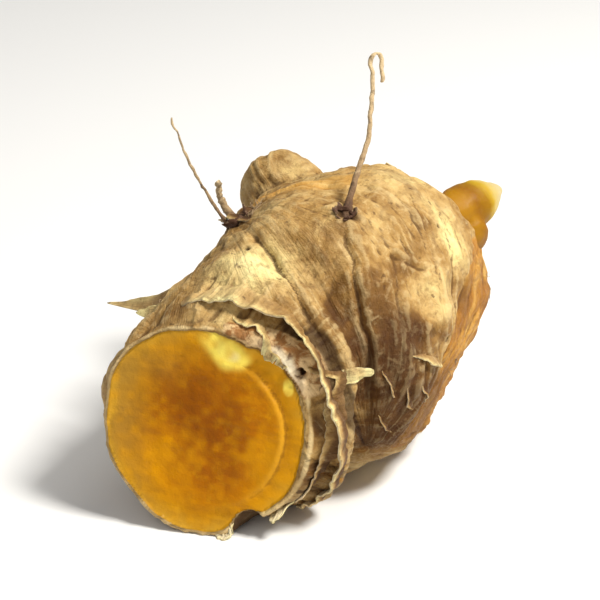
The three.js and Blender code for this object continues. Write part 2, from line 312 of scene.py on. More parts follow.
class Desk:
    """A node tree being wired: each call adds nodes and returns an output socket."""

    def __init__(self, tree):
        self.tree = tree

    def put(self, socket, value):
        if isinstance(value, bpy.types.NodeSocket):
            self.tree.links.new(value, socket)
        else:
            socket.default_value = value

    def fill(self, node, inputs):
        for label, value in inputs.items():
            self.put(node.inputs[label], value)

    def add(self, kind, inputs, output=0, **settings):
        node = self.tree.nodes.new("ShaderNode" + kind)
        for key, value in settings.items():
            setattr(node, key, value)
        self.fill(node, inputs)
        return node.outputs[output]

    def place(self):
        return self.add("TexCoord", {}, "Object")

    def attribute(self, name, output="Fac"):
        return self.add("Attribute", {}, output, attribute_name=name)

    def mapped(self, vector, scale):
        return self.add("Mapping", {"Vector": vector, "Scale": scale})

    def noise(self, vector, scale, detail=4, rough=0.6, warp=0.0):
        inputs = {"Vector": vector, "Scale": scale, "Detail": detail, "Roughness": rough, "Distortion": warp}
        return self.add("TexNoise", inputs, "Fac")

    def math(self, operation, a, b):
        return self.add("Math", {0: a, 1: b}, operation=operation)

    def times(self, a, b):
        return self.math("MULTIPLY", a, b)

    def plus(self, a, b, share=1.0):
        return self.math("ADD", a, b if share == 1.0 else self.times(b, share))

    def swayed(self, value, noise, share):
        """A value moved up and down by noise that runs round 0.5."""
        return self.plus(value, self.math("SUBTRACT", noise, 0.5), share)

    def range(self, value, low, high, to_low=0.0, to_high=1.0):
        inputs = {"Value": value, "From Min": low, "From Max": high, "To Min": to_low, "To Max": to_high}
        return self.add("MapRange", inputs, "Result", interpolation_type="SMOOTHSTEP")

    def mix(self, factor, a, b):
        return self.add("Mix", {0: factor, 6: a, 7: b}, 2, data_type="RGBA")

    def wash(self, colour, mask, amount, tint):
        """A tint laid on by a mask, up to an amount."""
        return self.mix(self.times(mask, amount), colour, srgb(*tint))

    def stained(self, colour, *stains):
        """Tints laid on in turn, each as a value runs from low, where there is none, to high."""
        for value, low, high, amount, tint in stains:
            colour = self.mix(self.range(value, low, high, 0.0, amount), colour, srgb(*tint))
        return colour

    def ramp(self, value, *stops):
        node = self.tree.nodes.new("ShaderNodeValToRGB")
        ramp = node.color_ramp
        while len(ramp.elements) < len(stops):
            ramp.elements.new(0.5)
        for element, (place, colour) in zip(ramp.elements, stops):
            element.position = place
            element.color = srgb(*colour)
        self.put(node.inputs["Fac"], value)
        return node.outputs["Color"]

    def group(self, tree, **inputs):
        node = self.tree.nodes.new("ShaderNodeGroup")
        node.node_tree = tree
        self.fill(node, inputs)
        return node.outputs

    def bump(self, height, strength, distance):
        return self.add("Bump", {"Height": height, "Strength": strength, "Distance": distance})


def new_material(name):
    material = bpy.data.materials.new(name)
    material.use_nodes = True
    tree = material.node_tree
    tree.nodes.clear()
    shader = tree.nodes.new("ShaderNodeBsdfPrincipled")
    out = tree.nodes.new("ShaderNodeOutputMaterial")
    tree.links.new(shader.outputs["BSDF"], out.inputs["Surface"])
    return material, Desk(tree), shader


def make_fibre_group():
    """Fine streaks that run round the rhizome and, weaker, along it."""
    d, ins, outs = group_with(
        "fibre streaks", {"Ringwise": "Vector", "Scale": "Float"}, {"Streaks": "Float", "Hairs": "Float"}
    )
    round_it = d.mapped(ins["Ringwise"], (9.0, 1.2, 1.2))
    along_it = d.mapped(ins["Ringwise"], (1.1, 7.0, 7.0))
    streaks = d.noise(round_it, d.times(ins["Scale"], 1.1), 5, 0.62, 0.35)
    hairs = d.noise(along_it, d.times(ins["Scale"], 1.3), 5, 0.6, 0.25)
    d.fill(outs, {"Streaks": streaks, "Hairs": hairs})
    return d.tree


FIBRES = make_fibre_group()


def make_skin_group():
    """The dry outer skin: tan, mottled, streaked and specked, from pale gold to dark brown, with painted
    shade in its hollows and where its tone runs dark.
    """
    d, ins, outs = group_with(
        "dry skin",
        {"Place": "Vector", "Ringwise": "Vector", "Tone": "Float", "Cavity": "Float"},
        {"Color": "Color", "Height": "Float", "Roughness": "Float"},
    )
    place, tone_and_shade, cavity = ins["Place"], ins["Tone"], ins["Cavity"]
    fibres = d.group(FIBRES, Ringwise=ins["Ringwise"], Scale=1.0)
    streaks, hairs = fibres["Streaks"], fibres["Hairs"]
    broad = d.noise(place, 70, 5, 0.6, 0.4)
    patches = d.noise(place, 170, 5, 0.62, 0.8)
    tan = d.ramp(
        d.swayed(d.plus(broad, tone_and_shade, 0.3), patches, 0.35),
        (0.12, (76, 46, 14)),
        (0.3, (122, 85, 38)),
        (0.45, (166, 128, 70)),
        (0.6, (196, 162, 102)),
        (0.76, (224, 198, 132)),
        (0.94, (242, 228, 160)),
    )
    mottle = d.noise(place, 560, 5, 0.7, 0.4)
    blotch = d.noise(place, 300, 5, 0.65, 0.6)
    tan = d.stained(
        tan,
        (d.noise(place, 110, 4, 0.6, 1.2), 0.5, 0.68, 0.4, (128, 102, 68)),
        (mottle, 0.52, 0.68, 0.5, (112, 78, 36)),
        (mottle, 0.46, 0.34, 0.15, (232, 208, 156)),
        (streaks, 0.54, 0.74, 0.36, (112, 75, 32)),
        (streaks, 0.44, 0.28, 0.28, (240, 216, 160)),
        (hairs, 0.56, 0.72, 0.28, (100, 68, 34)),
        (blotch, 0.5, 0.66, 0.42, (122, 87, 44)),
        (blotch, 0.46, 0.32, 0.25, (226, 198, 144)),
        (d.noise(place, 460, 3, 0.5), 0.66, 0.72, 0.6, (76, 48, 26)),
        # Painted shade in hollows, and paler raised ridges, by how hollow each place is.
        (cavity, 0.25, 0.9, 0.65, (80, 50, 22)),
        (cavity, -0.3, -0.9, 0.25, (236, 210, 152)),
        # Darker where the tone runs low: the skin's own dark patches and painted shade.
        (tone_and_shade, -0.4, -1.0, 0.5, (80, 46, 14)),
    )
    height = d.plus(streaks, hairs, 0.7)
    height = d.plus(height, d.noise(place, 1500, 4, 0.65), 0.4)
    height = d.plus(height, patches, 0.6)
    rough = d.range(d.noise(place, 900), 0.3, 0.7, 0.55, 0.82)
    rough = d.math("SUBTRACT", rough, d.range(cavity, 0.0, -0.8, 0.0, 0.12))
    d.fill(outs, {"Color": tan, "Height": height, "Roughness": rough})
    return d.tree


DRY_SKIN = make_skin_group()


def skin_colour(d, ringwise, cavity, dry, patches):
    """The skin's colour: painted shade in its hollows and on its underside, the worn band, and the bare
    places where it is gone.
    """
    # Painted shade in pits, deep folds, ring grooves and the valley, and painted shadow in the notch, the
    # pocket and under the collar's lifted edge.
    tan = d.stained(dry["Color"], (d.attribute("hollow"), 0.2, 0.9, 0.85, (54, 32, 14)))
    # Painted shade on the underside.
    tan = d.wash(tan, d.attribute("underside_shade"), 0.7, (92, 64, 40))
    stripes = d.noise(d.mapped(ringwise, (5.0, 2.0, 2.0)), 2.2, 6, 0.6, 0.5)
    bared = d.ramp(
        stripes, (0.28, (124, 78, 28)), (0.42, (170, 114, 42)), (0.55, (196, 142, 60)), (0.7, (222, 178, 100))
    )
    bared = d.stained(
        bared,
        (patches, 0.48, 0.64, 0.55, (134, 92, 44)),
        # Painted shade in the hollows of the bare places.
        (cavity, 0.2, 0.8, 0.6, (92, 54, 18)),
        # Darker where the tone runs low, partly painted shade.
        (d.attribute("tone_and_shade"), 0.1, -0.7, 0.7, (106, 72, 36)),
    )
    worn = d.ramp(stripes, (0.3, (168, 116, 48)), (0.5, (200, 150, 72)), (0.7, (228, 190, 118)))
    tan = d.mix(d.times(d.attribute("worn"), 0.8), tan, worn)
    return d.mix(d.range(d.swayed(d.attribute("bare"), patches, 0.6), 0.32, 0.66), tan, bared)


def flesh_colour(d, place, cavity):
    """The cut flesh: amber at its heart, golden towards the rim, with painted shade over its upper left and
    centre and a bright yellow painted highlight near its top.
    """
    soft = d.noise(place, 120, 5, 0.6, 0.5)
    meat = d.ramp(
        d.swayed(d.attribute("core"), soft, 0.18),
        (0.1, (154, 84, 0)),
        (0.45, (170, 97, 0)),
        (0.66, (190, 120, 0)),
        (0.82, (196, 134, 8)),
        (0.98, (208, 156, 44)),
    )
    grains = d.noise(place, 380, 5, 0.7, 0.2)
    meat = d.stained(meat, (grains, 0.5, 0.7, 0.3, (214, 156, 14)), (grains, 0.48, 0.3, 0.12, (146, 84, 0)))
    meat = d.wash(meat, d.attribute("shade"), 0.75, (136, 74, 0))
    meat = d.wash(meat, d.attribute("wan"), 0.65, (156, 114, 44))
    # A painted highlight, yellow with a cream centre.
    painted_highlight = d.attribute("painted_highlight")
    meat = d.stained(meat, (painted_highlight, 0.0, 0.75, 1.0, (255, 230, 98)), (painted_highlight, 0.74, 1.1, 1.0, (255, 240, 164)))
    meat = d.wash(meat, d.attribute("gold"), 0.7, (216, 148, 0))
    # A painted highlight along the edge of the raised heart.
    meat = d.wash(meat, d.attribute("step_highlight"), 0.45, (226, 172, 50))
    # Painted shade in the hollows of the flesh.
    return d.stained(meat, (cavity, 0.2, 0.9, 0.5, (112, 60, 0)))


def lining_colour(d, place, cavity):
    """The pale inside of the skin, where it is torn back over the rim; its whiter part is partly its own
    colour and partly a painted highlight.
    """
    crumple = d.range(d.noise(place, 260, 4, 0.6, 0.8), 0.4, 0.58)
    lining = d.mix(crumple, srgb(218, 184, 132), srgb(150, 102, 54))
    lining = d.wash(lining, d.attribute("white_and_highlight"), 1.0, (240, 224, 190))
    # Painted shade in the creases of the lining.
    return d.stained(lining, (cavity, 0.2, 0.9, 0.8, (92, 54, 24)))


def make_skin_material():
    material, d, shader = new_material("rhizome_skin")
    place, ringwise = d.place(), d.attribute("ringwise", "Vector")
    cavity, flesh = d.attribute("cavity"), d.attribute("flesh")
    dry = d.group(DRY_SKIN, Place=place, Ringwise=ringwise, Tone=d.attribute("tone_and_shade"), Cavity=cavity)
    skin = skin_colour(d, ringwise, cavity, dry, d.noise(place, 150, 5, 0.6, 0.6))
    colour = d.mix(d.range(flesh, 0.35, 0.65), skin, flesh_colour(d, place, cavity))
    colour = d.stained(colour, (d.attribute("rim"), 0.3, 0.8, 0.8, (222, 194, 140)))
    torn_back = d.range(d.attribute("lining"), 0.3, 0.7)
    wet = d.range(d.noise(place, 320), 0.35, 0.65, 0.26, 0.48)
    grain = d.plus(d.times(flesh, 0.3), d.attribute("bare"), 0.8)
    height = d.times(dry["Height"], d.math("SUBTRACT", 1.0, flesh))
    height = d.plus(height, d.times(d.noise(place, 700, 5, 0.7), grain))
    d.fill(
        shader,
        {
            "Base Color": d.mix(torn_back, colour, lining_colour(d, place, cavity)),
            "Roughness": d.add("Mix", {0: d.range(flesh, 0.4, 0.6), 2: dry["Roughness"], 3: wet}),
            "Specular IOR Level": d.range(flesh, 0.2, 0.8, 0.2, 0.1),
            "Normal": d.bump(height, 0.85, 0.0011),
        },
    )
    return material


def make_sheath_material():
    material, d, shader = new_material("dry_sheath")
    lines = d.noise(d.mapped(d.attribute("lengthwise", "Vector"), (0.9, 0.7, 1)), 1.5, 5, 0.6, 0.8)
    # Paler towards the free edge: partly the torn edge's own paler colour, partly a painted highlight.
    tone_and_shade = d.plus(d.attribute("tint"), d.range(d.attribute("edge"), 0.5, 1.0, 0.0, 0.9))
    ringwise = d.attribute("ringwise", "Vector")
    dry = d.group(DRY_SKIN, Place=d.place(), Ringwise=ringwise, Tone=tone_and_shade, Cavity=0.0)
    colour = d.stained(dry["Color"], (lines, 0.52, 0.74, 0.35, (104, 70, 38)))
    d.fill(
        shader,
        {
            "Base Color": d.wash(colour, d.attribute("inner"), 0.55, (240, 226, 196)),
            "Roughness": 0.66,
            "Specular IOR Level": 0.4,
            "Normal": d.bump(d.plus(lines, dry["Height"], 0.8), 0.8, 0.0007),
        },
    )
    return material


def make_root_material():
    material, d, shader = new_material("dry_root")
    place = d.place()
    blotch = d.noise(place, 420, 4, 0.6, 0.4)
    colour = d.ramp(
        d.attribute("tipward"),
        (0.0, (76, 44, 26)),
        (0.08, (112, 82, 54)),
        (0.3, (164, 136, 98)),
        (1.0, (204, 180, 138)),
    )
    colour = d.stained(
        colour, (blotch, 0.5, 0.68, 0.65, (66, 42, 24)), (blotch, 0.42, 0.3, 0.5, (198, 172, 130))
    )
    normal = d.bump(d.noise(place, 1600, 4, 0.65), 0.8, 0.0005)
    d.fill(shader, {"Base Color": colour, "Roughness": 0.78, "Normal": normal})
    return material


def make_bud_material():
    material, d, shader = new_material("bud_skin")
    place = d.place()
    colour = d.ramp(
        d.swayed(d.attribute("tipward"), d.noise(place, 150, 3, 0.5, 0.3), 0.25),
        (0.0, (158, 110, 6)),
        (0.14, (136, 88, 0)),
        (0.3, (144, 102, 0)),
        (0.42, (176, 142, 30)),
        (0.52, (190, 166, 92)),
        (0.75, (192, 174, 124)),
    )
    d.fill(
        shader,
        {
            "Base Color": colour,
            "Roughness": 0.5,
            "Specular IOR Level": 0.2,
            "Subsurface Weight": 0.12,
            "Subsurface Radius": (0.004, 0.002, 0.0008),
            "Subsurface Scale": 0.6,
            "Normal": d.bump(d.noise(place, 500), 0.35, 0.0006),
        },
    )
    return material


SKIN = make_skin_material()
SHEATH = make_sheath_material()
ROOT = make_root_material()
BUD = make_bud_material()


# ---------------------------------------------------------------- the body

# The two poles that the bulb's rings run together at.
VALLEY_POLE = np.array([19.7, -28.5, -14.3])
TUFT_POLE = np.array([-17.8, -14.9, 20.0])

# Where the ring scale starts: the valley's station, and its direction round the poles in degrees.
VALLEY_STATION = -28.0
RINGS_START = 130

# Ring scars, as millimetres from the valley on the ring scale, and their heights.
RINGS = [
    (7.5, 0.18), (17.5, 0.25), (22.5, 0.5), (27.5, 0.35), (33.0, 0.6), (40.5, 0.5), (44.0, 0.35),
    (47.5, 0.6), (51.0, 0.15), (54.0, 0.15),
]

# Folds in the skin, as paths of (station, degrees) with a depth and a width in millimetres.
FOLDS = [
    ([(-14.0, 77), (-17.4, 68), (-21.4, 54), (-24.5, 36), (-26.6, 10), (-27.6, -12)], 1.3, 0.45),
    ([(-13.2, 72), (-16.0, 64), (-19.6, 52), (-22.6, 38)], -0.8, 0.7),
    ([(-8.0, 62), (-12.8, 47), (-17.0, 33), (-20.8, 22), (-24.0, 2)], -0.8, 0.7),
    ([(-9.5, 66), (-14.3, 49), (-18.5, 35), (-22.0, 22)], 0.7, 0.5),
    ([(3.5, 62), (0.6, 46), (-4.0, 36), (-8.2, 28), (-13.2, 11), (-18.0, -6)], -1.0, 1.6),
    ([(4.0, 44), (0.0, 33), (-5.0, 22), (-10.0, 6), (-15.0, -8), (-22.0, -20)], 0.9, 0.6),
    ([(-3.5, 72), (-6.5, 55), (-10.0, 40)], 0.5, 0.5),
    ([(-0.5, 70), (-4.0, 54), (-7.0, 42)], 0.6, 0.4),
    ([(2.5, 67), (-1.5, 56), (-5.0, 45)], 0.55, 0.4),
    ([(-5.5, 66), (-8.0, 55), (-9.5, 46)], 0.5, 0.4),
    ([(-8.5, 58), (-10.5, 50), (-11.5, 42)], 0.5, 0.4),
    ([(2.7, 142), (3.4, 134), (4.9, 127)], 1.0, 0.5),
    ([(-13.4, 59), (-10.8, 46), (-6.6, 36)], -0.7, 0.5),
    ([(-14.4, 57), (-11.8, 44), (-7.6, 34)], 0.6, 0.4),
    ([(-2.7, 62), (-4.4, 50)], 0.6, 0.35),
    ([(-0.5, 57), (-0.7, 49)], 0.6, 0.35),
    ([(-18.5, 116), (-21.2, 108), (-23.4, 97), (-26.0, 84), (-28.8, 72), (-30.6, 59), (-31.8, 46)], 1.2, 0.5),
    ([(-17.0, 112), (-21.0, 100), (-25.5, 88)], 0.5, 0.8),
    ([(-17.0, 140), (-22.0, 125), (-25.0, 112)], 0.5, 0.8),
    ([(-12.6, 12), (-15.0, 3), (-19.0, -5)], 0.9, 0.5),
    ([(-20.5, 14), (-21.8, 3), (-23.5, -10)], 0.9, 0.5),
    ([(-17.0, 15), (-18.5, 5), (-21.0, -8)], 0.8, 0.5),
    ([(-10.0, 150), (-12.0, 172), (-9.0, 196), (-10.5, 222)], 0.7, 0.9),
    ([(4.0, 186), (6.0, 206), (5.0, 232)], 0.6, 0.8),
    ([(10.0, 66), (12.5, 84), (12.0, 104)], 0.5, 0.7),
    ([(16.0, 190), (17.5, 215), (15.0, 240)], 0.6, 0.8),
]

# Eyes where roots were: station, degrees, radius of the pit, height of its rim.
EYES = [
    (-24.0, 108, 0.55, 0.2), (0.6, 48, 0.45, 0.15), (-11.3, 9, 0.6, 0.2), (-6.0, 158, 1.3, 0.5),
    (-19.0, 178, 1.1, 0.45), (12.0, 170, 1.2, 0.5), (5.0, 222, 1.3, 0.5), (-14.0, 232, 1.2, 0.45),
    (20.0, 240, 1.1, 0.45), (22.0, 62, 1.0, 0.4), (10.0, 300, 1.2, 0.5), (-8.0, 312, 1.1, 0.4),
    (16.0, 112, 1.2, 0.5), (26.5, 300, 1.0, 0.4), (-38.0, 200, 0.9, 0.4),
]

# Where the CAD roots stand: station, degrees, radius of the socket.
SOCKETS = [
    (-12.7, 76.5, 1.8), (-9.0, 137, 1.6), (-12.0, 136, 0.8), (-15.0, 192, 1.1), (-2.0, 205, 1.3),
    (24.0, 150, 1.1), (26.0, 205, 1.2),
]

# Pale and dark places on the skin: station, degrees, size in millimetres, tone from -1 to 1. Some are the
# skin's own patches; the dark ones in the valley, on the underside and under the collar's edge are painted
# shade.
TONES_AND_SHADE = [
    (-28.5, 96, 5.5, 1.0), (-31.5, 112, 6.0, 0.7), (-38.0, 100, 5.0, 0.35), (-22.5, 78, 4.5, -0.35),
    (3.5, 45, 4.0, 0.9), (1.0, 35, 3.4, 1.0), (-5.7, 28, 2.4, 0.6), (-11.0, 20, 1.8, 0.5),
    (4.0, 62, 6.0, 0.45), (-1.0, 84, 7.0, 0.2), (-11.5, 39, 3.6, 0.12), (-16.5, 47, 4.8, -0.2),
    (-20.5, 42, 5.2, -0.35), (-19.0, 27, 4.4, -0.45), (-17.5, 16, 4.4, -0.5), (-22.5, 24, 4.0, -0.9),
    (-24.0, 6, 4.5, -1.0), (-27.5, 30, 4.0, -1.0), (-29.0, 8, 4.5, -1.0), (-29.0, -20, 5.0, -1.0),
    (-26.5, 52, 3.0, -0.7), (-12.5, 12, 1.6, -0.6), (-18.5, -8, 5.0, -0.8), (-24.0, -16, 5.0, -1.0),
    (-10.0, -28, 6.0, -0.7), (-14.0, -26, 7.0, -0.9), (-37.5, 30, 2.8, -1.0), (-39.0, 5, 3.0, -1.0),
    (-41.0, -22, 3.2, -1.0), (0.5, 18, 4.6, -0.5), (-12.0, 132, 4.0, -0.7), (-45.0, 165, 6.0, -0.3),
]

# The worn band over the top, as a path of (station, degrees).
WORN_BAND = [(-1.4, 92), (-4.2, 102), (-5.2, 112), (-5.0, 122), (-3.6, 130)]
WORN_DEGREES = 114

# The peeled band on the +X side, from and to these millimetres on the ring scale.
PEEL_FROM = 36.6
PEEL_TO = 48.5

# The notch in the lower edge of the cut and the small pocket in its rim, across and up from the
# centre of the cut.
NOTCH = (9.2, -19.8)
POCKET = (17.6, 13.4)

# How far the cut and its raised heart reach from the centre of the cut.
CUT_RADIUS = 20.5
HEART_RADIUS = 14.9


def polyline_distance(points, path):
    """Distance to a path, how far along it the nearest place is, and which side it lies on."""
    nearest = np.full(len(points), 1e9)
    along = np.zeros(len(points))
    side = np.zeros(len(points))
    lengths = np.linalg.norm(np.diff(path, axis=0), axis=1)
    run = np.concatenate([[0], np.cumsum(lengths)])
    for i, (a, b) in enumerate(zip(path[:-1], path[1:])):
        ab = b - a
        t = np.clip(((points - a) @ ab) / (ab @ ab), 0, 1)
        gap = points - (a + t[:, None] * ab)
        distance = np.linalg.norm(gap, axis=1)
        closer = distance < nearest
        nearest[closer] = distance[closer]
        along[closer] = (run[i] + t[closer] * lengths[i]) / run[-1]
        side[closer] = np.sign(ab[0] * gap[closer, 1] - ab[1] * gap[closer, 0])
    return nearest, along, side


def unrolled(station, angle, about):
    """Places on the skin as flat millimetres, with the seam opposite the angle asked for."""
    return np.stack([station, turn_from(angle, about) * SLEEVE_RADIUS], 1)


def path_on_skin(path, about):
    path = np.array(path, float)
    return unrolled(path[:, 0], np.radians(path[:, 1]), about)


def make_body():
    body = welded_copy("rhizome", "rhizome_body")
    remesh(body, ROUGH_GRAIN)
    points = read_points(body)
    softened = body.vertex_groups.new(name="softened")
    behind_cut = (CUT_CENTRE - points) @ CUT_NORMAL > 0.7
    off_table = points[:, 2] > TABLE_HEIGHT + 0.7
    softened.add(np.nonzero(behind_cut & off_table)[0].tolist(), 1.0, "REPLACE")
    apply_modifier(body, "SMOOTH", factor=0.6, iterations=10, vertex_group="softened")
    bite(body, in_the_cut(*NOTCH, 1.0), (3.7, 7.5, 5.2))
    bite(body, in_the_cut(*POCKET, 0.8), (1.1, 2.6, 1.3))
    remesh(body, SKIN_GRAIN)
    sculpt(body)
    return body


def bite(body, centre, radii):
    """Cuts a round hollow that goes deeper than the skin is moved later."""
    deselect()
    place = tuple((centre + BULB_CENTRE) * MM)
    bpy.ops.mesh.primitive_ico_sphere_add(subdivisions=4, radius=1.0, location=place)
    ball = bpy.context.object
    ball.scale = Vector(radii) * MM
    bpy.ops.object.transform_apply(location=True, rotation=True, scale=True)
    apply_modifier(body, "BOOLEAN", operation="DIFFERENCE", solver="EXACT", object=ball)
    bpy.data.objects.remove(ball)


def ring_scale(points, station):
    """Where a place lies on the ring scale, in millimetres from the valley, and how near a pole.

    The bulb grew round a bend, so on its upper side the rings fan out between two poles, one low
    in the valley and one by the tuft. On the other side they follow the spine.
    """
    aim = unit(*(TUFT_POLE - VALLEY_POLE))
    back = unit(*(np.array([0, 1.0, 0]) - aim * aim[1]))
    flat = points - VALLEY_POLE
    flat = flat - aim * (flat @ aim)[:, None]
    x, y = flat @ back, flat @ np.cross(back, aim)
    fan = SLEEVE_RADIUS * (np.radians(RINGS_START) - np.arctan2(y, x))
    straight = station - VALLEY_STATION
    upper = smooth(-9, 7, y)
    return fan * upper + straight * (1 - upper), smooth(1.0, 9.0, np.hypot(x, y)) * upper + 1 - upper


def ring_moves(points, place):
    """The ring scars: each a ridge with a soft back, a steep front and a groove before it."""
    move = np.zeros(len(points))
    ring_mark = np.zeros(len(points))
    for ring, height in RINGS:
        seed = int(ring * 3) % 50
        gap = place - ring - ripples(points, (1.1, 13, seed), (0.3, 4, seed + 1))
        strength = np.clip(0.55 + 0.8 * ripple(points, 11, seed + 2), 0, 1.3)
        front = np.exp(-np.maximum(gap, 0) ** 2 / 2.4 - np.minimum(gap, 0) ** 2 / 0.25)
        groove = bell(gap + 0.9, 0.5)
        move += height * strength * (front - 0.7 * groove)
        ring_mark += groove * strength
    return move, ring_mark


def fold_moves(points, station, angle):
    """The folds: each a dip along its path, or a ridge where its depth is below 0, with two lips."""
    move = np.zeros(len(points))
    fold_mark = np.zeros(len(points))
    wander = np.stack([ripple(points, 3.5, 31), ripple(points, 3.5, 32)], 1)
    for path, deep, width in FOLDS:
        about = math.radians(np.mean([p[1] for p in path]))
        flat = unrolled(station, angle, about) + 0.5 * wander
        distance, along, side = polyline_distance(flat, path_on_skin(path, about))
        near = np.abs(turn_from(angle, about)) < 2.0
        fade = np.sin(math.pi * np.clip(along, 0.02, 0.98)) ** 0.6 * near
        dip = bell(distance, width) * fade
        lip = bell(distance - 2.0 * width, 1.3 * width) * fade
        move += -deep * dip + 0.45 * abs(deep) * lip * np.where(side > 0, 1.0, 0.35)
        fold_mark += max(deep, 0) * dip
    return move, fold_mark


def fine_moves(points, place, station, angle):
    """Ripples round the bulb, pleats along the stub, and dimples all over."""
    on_stub = smooth(-24, -36, station)
    on_bulb = 1 - on_stub
    creased = 1 - np.abs(ripple(wrapped(station / 9, angle, 15), 1, 5)) * 2
    pleated = 1 - np.abs(ripple(wrapped(station / 12, angle, 7), 1, 6)) * 2
    pleated *= 0.3 + 0.7 * smooth(45, 85, np.degrees(angle))
    dimpled = np.abs(ripple(points, 4.6, 13)) * 2
    ringwise = 0.16 * ripple(wrapped(place / 2.0, angle, 3.2), 1, 3)
    ringwise += 0.1 * ripple(wrapped(place / 0.8, angle, 3.6), 1, 4)
    move = ringwise * (1 - 0.5 * on_stub)
    move += 0.45 * on_stub * creased + 0.5 * on_stub * pleated + 0.1 * on_bulb * creased
    move += ripples(points, (0.5, 9, 8), (0.3, 3.6, 9), (0.17, 1.6, 10))
    return move + 0.22 * on_bulb * (dimpled - 0.5)


def around(points, station, angle, radius, place, degrees):
    """Distances from the skin's point at a station and an angle."""
    gap = unrolled(station, angle, math.radians(degrees)) - [place, 0]
    gap[:, 1] *= radius / SLEEVE_RADIUS
    far = np.hypot(gap[:, 0], gap[:, 1])
    at, nearest = spine_at(place)[0], np.argmin(far)
    level = np.median(radius[far < 3.5])
    centre = at + (points[nearest] - at) * level / radius[nearest]
    return np.linalg.norm(points - centre, axis=1)


def pit_moves(points, station, angle, radius):
    """The eyes, each with a raised rim, and the deep dark sockets of the roots, each pit with painted shade
    inside it.
    """
    move = np.zeros(len(points))
    pit_mark = np.zeros(len(points))
    wander = ripple(points, 2, 41)
    # For each pit, after its place, size and rim: its depth and the strength of the painted shade inside it.
    pits = [eye + (1.1, 1.0) for eye in EYES] + [socket + (0.45, 0.5, 1.4) for socket in SOCKETS]
    for place, degrees, size, lip, deep, dark in pits:
        distance = around(points, station, angle, radius, place, degrees) + 0.25 * size * wander
        rim = lip * bell(distance - 1.7 * size, 0.7 * size) * (1 + 0.8 * ripple(points, 1.5, 43))
        move += rim - deep * size * bell(distance, 0.8 * size)
        pit_mark += dark * bell(distance, 1.25 * size)
    return move, np.clip(pit_mark, 0, 1)


def bud_collar_moves(points):
    """The skin's swollen ring round the bud, and the hollow that the bud stands in."""
    gap = points - BUD_BASE
    ahead = gap @ BUD_AIM
    off_axis = np.linalg.norm(gap - BUD_AIM * np.maximum(ahead, 0)[:, None], axis=1)
    return smooth(-4, 0, ahead) * (0.9 * bell(off_axis - 5.6, 1.2) - 0.6 * smooth(5.0, 4.0, off_axis))


def skin_tone_and_shade(points, station, angle, radius):
    """The pale and dark places as a value from -1 to 1, partly the skin's own patches and partly painted
    shade.
    """
    tone_and_shade = np.zeros(len(points))
    wander = ripples(points, (1, 5, 81), (0.6, 2, 82))
    for place, degrees, size, level in TONES_AND_SHADE:
        distance = around(points, station, angle, radius, place, degrees) + 0.12 * size * wander
        tone_and_shade += level * bell(distance, 1.1 * size)
    return np.clip(tone_and_shade, -1, 1)


def bare_places(points, normals, angle, place):
    """Where the skin is gone: the patch that a daughter was broken from, and the band by it."""
    degrees = np.degrees(angle)
    back = 6 * smooth(8, 34, degrees)
    below = smooth(37, 29, degrees + 4 * ripple(points, 7, 38))
    scar = smooth(-1.3, -0.2, points @ SCAR_NORMAL - SCAR_DEPTH + 0.4 * ripple(points, 5, 15))
    scar *= smooth(0.66, 0.84, normals @ SCAR_NORMAL) * below
    scar *= np.maximum(smooth(-1, 0.5, place - PEEL_FROM - back), angle < 0.1)
    shifted = place + ripples(points, (1.2, 6, 36), (0.6, 2.2, 37)) - back
    peel = smooth(PEEL_FROM - 0.5, PEEL_FROM + 0.5, shifted) * smooth(PEEL_TO + 2, PEEL_TO, shifted)
    return scar, peel * smooth(-60, -40, degrees) * below


def worn_band(points, station, angle):
    """Where the skin is rubbed down to its golden underside, 0 to 1."""
    about = math.radians(WORN_DEGREES)
    gap = polyline_distance(unrolled(station, angle, about), path_on_skin(WORN_BAND, about))[0]
    return smooth(3.9, 2.2, gap + 0.9 * ripple(points, 5, 16)) * (np.abs(angle - about) < 1.2)


def round_noise(turn, size, seed):
    """Noise that goes round the rim without a seam."""
    return ripple(np.stack([np.cos(turn) * size, np.sin(turn) * size, turn * 0], 1), 1, seed)


def rim_reach(turn, far, on_face):
    """How far the cut face reaches from its centre, by direction in the plane of the cut."""
    bins = 90
    which = ((turn + math.pi) / (2 * math.pi) * bins).astype(int) % bins
    reach = np.array([np.percentile(far[on_face & (which == i)], 99) for i in range(bins)])
    for _ in range(2):
        reach = np.convolve(np.concatenate([reach[-1:], reach, reach[:1]]), [0.25, 0.5, 0.25], "valid")
    centres = (np.arange(bins) + 0.5) / bins * 2 * math.pi - math.pi
    places = np.concatenate([centres - 2 * math.pi, centres, centres + 2 * math.pi])
    return np.interp(turn, places, np.tile(reach, 3))


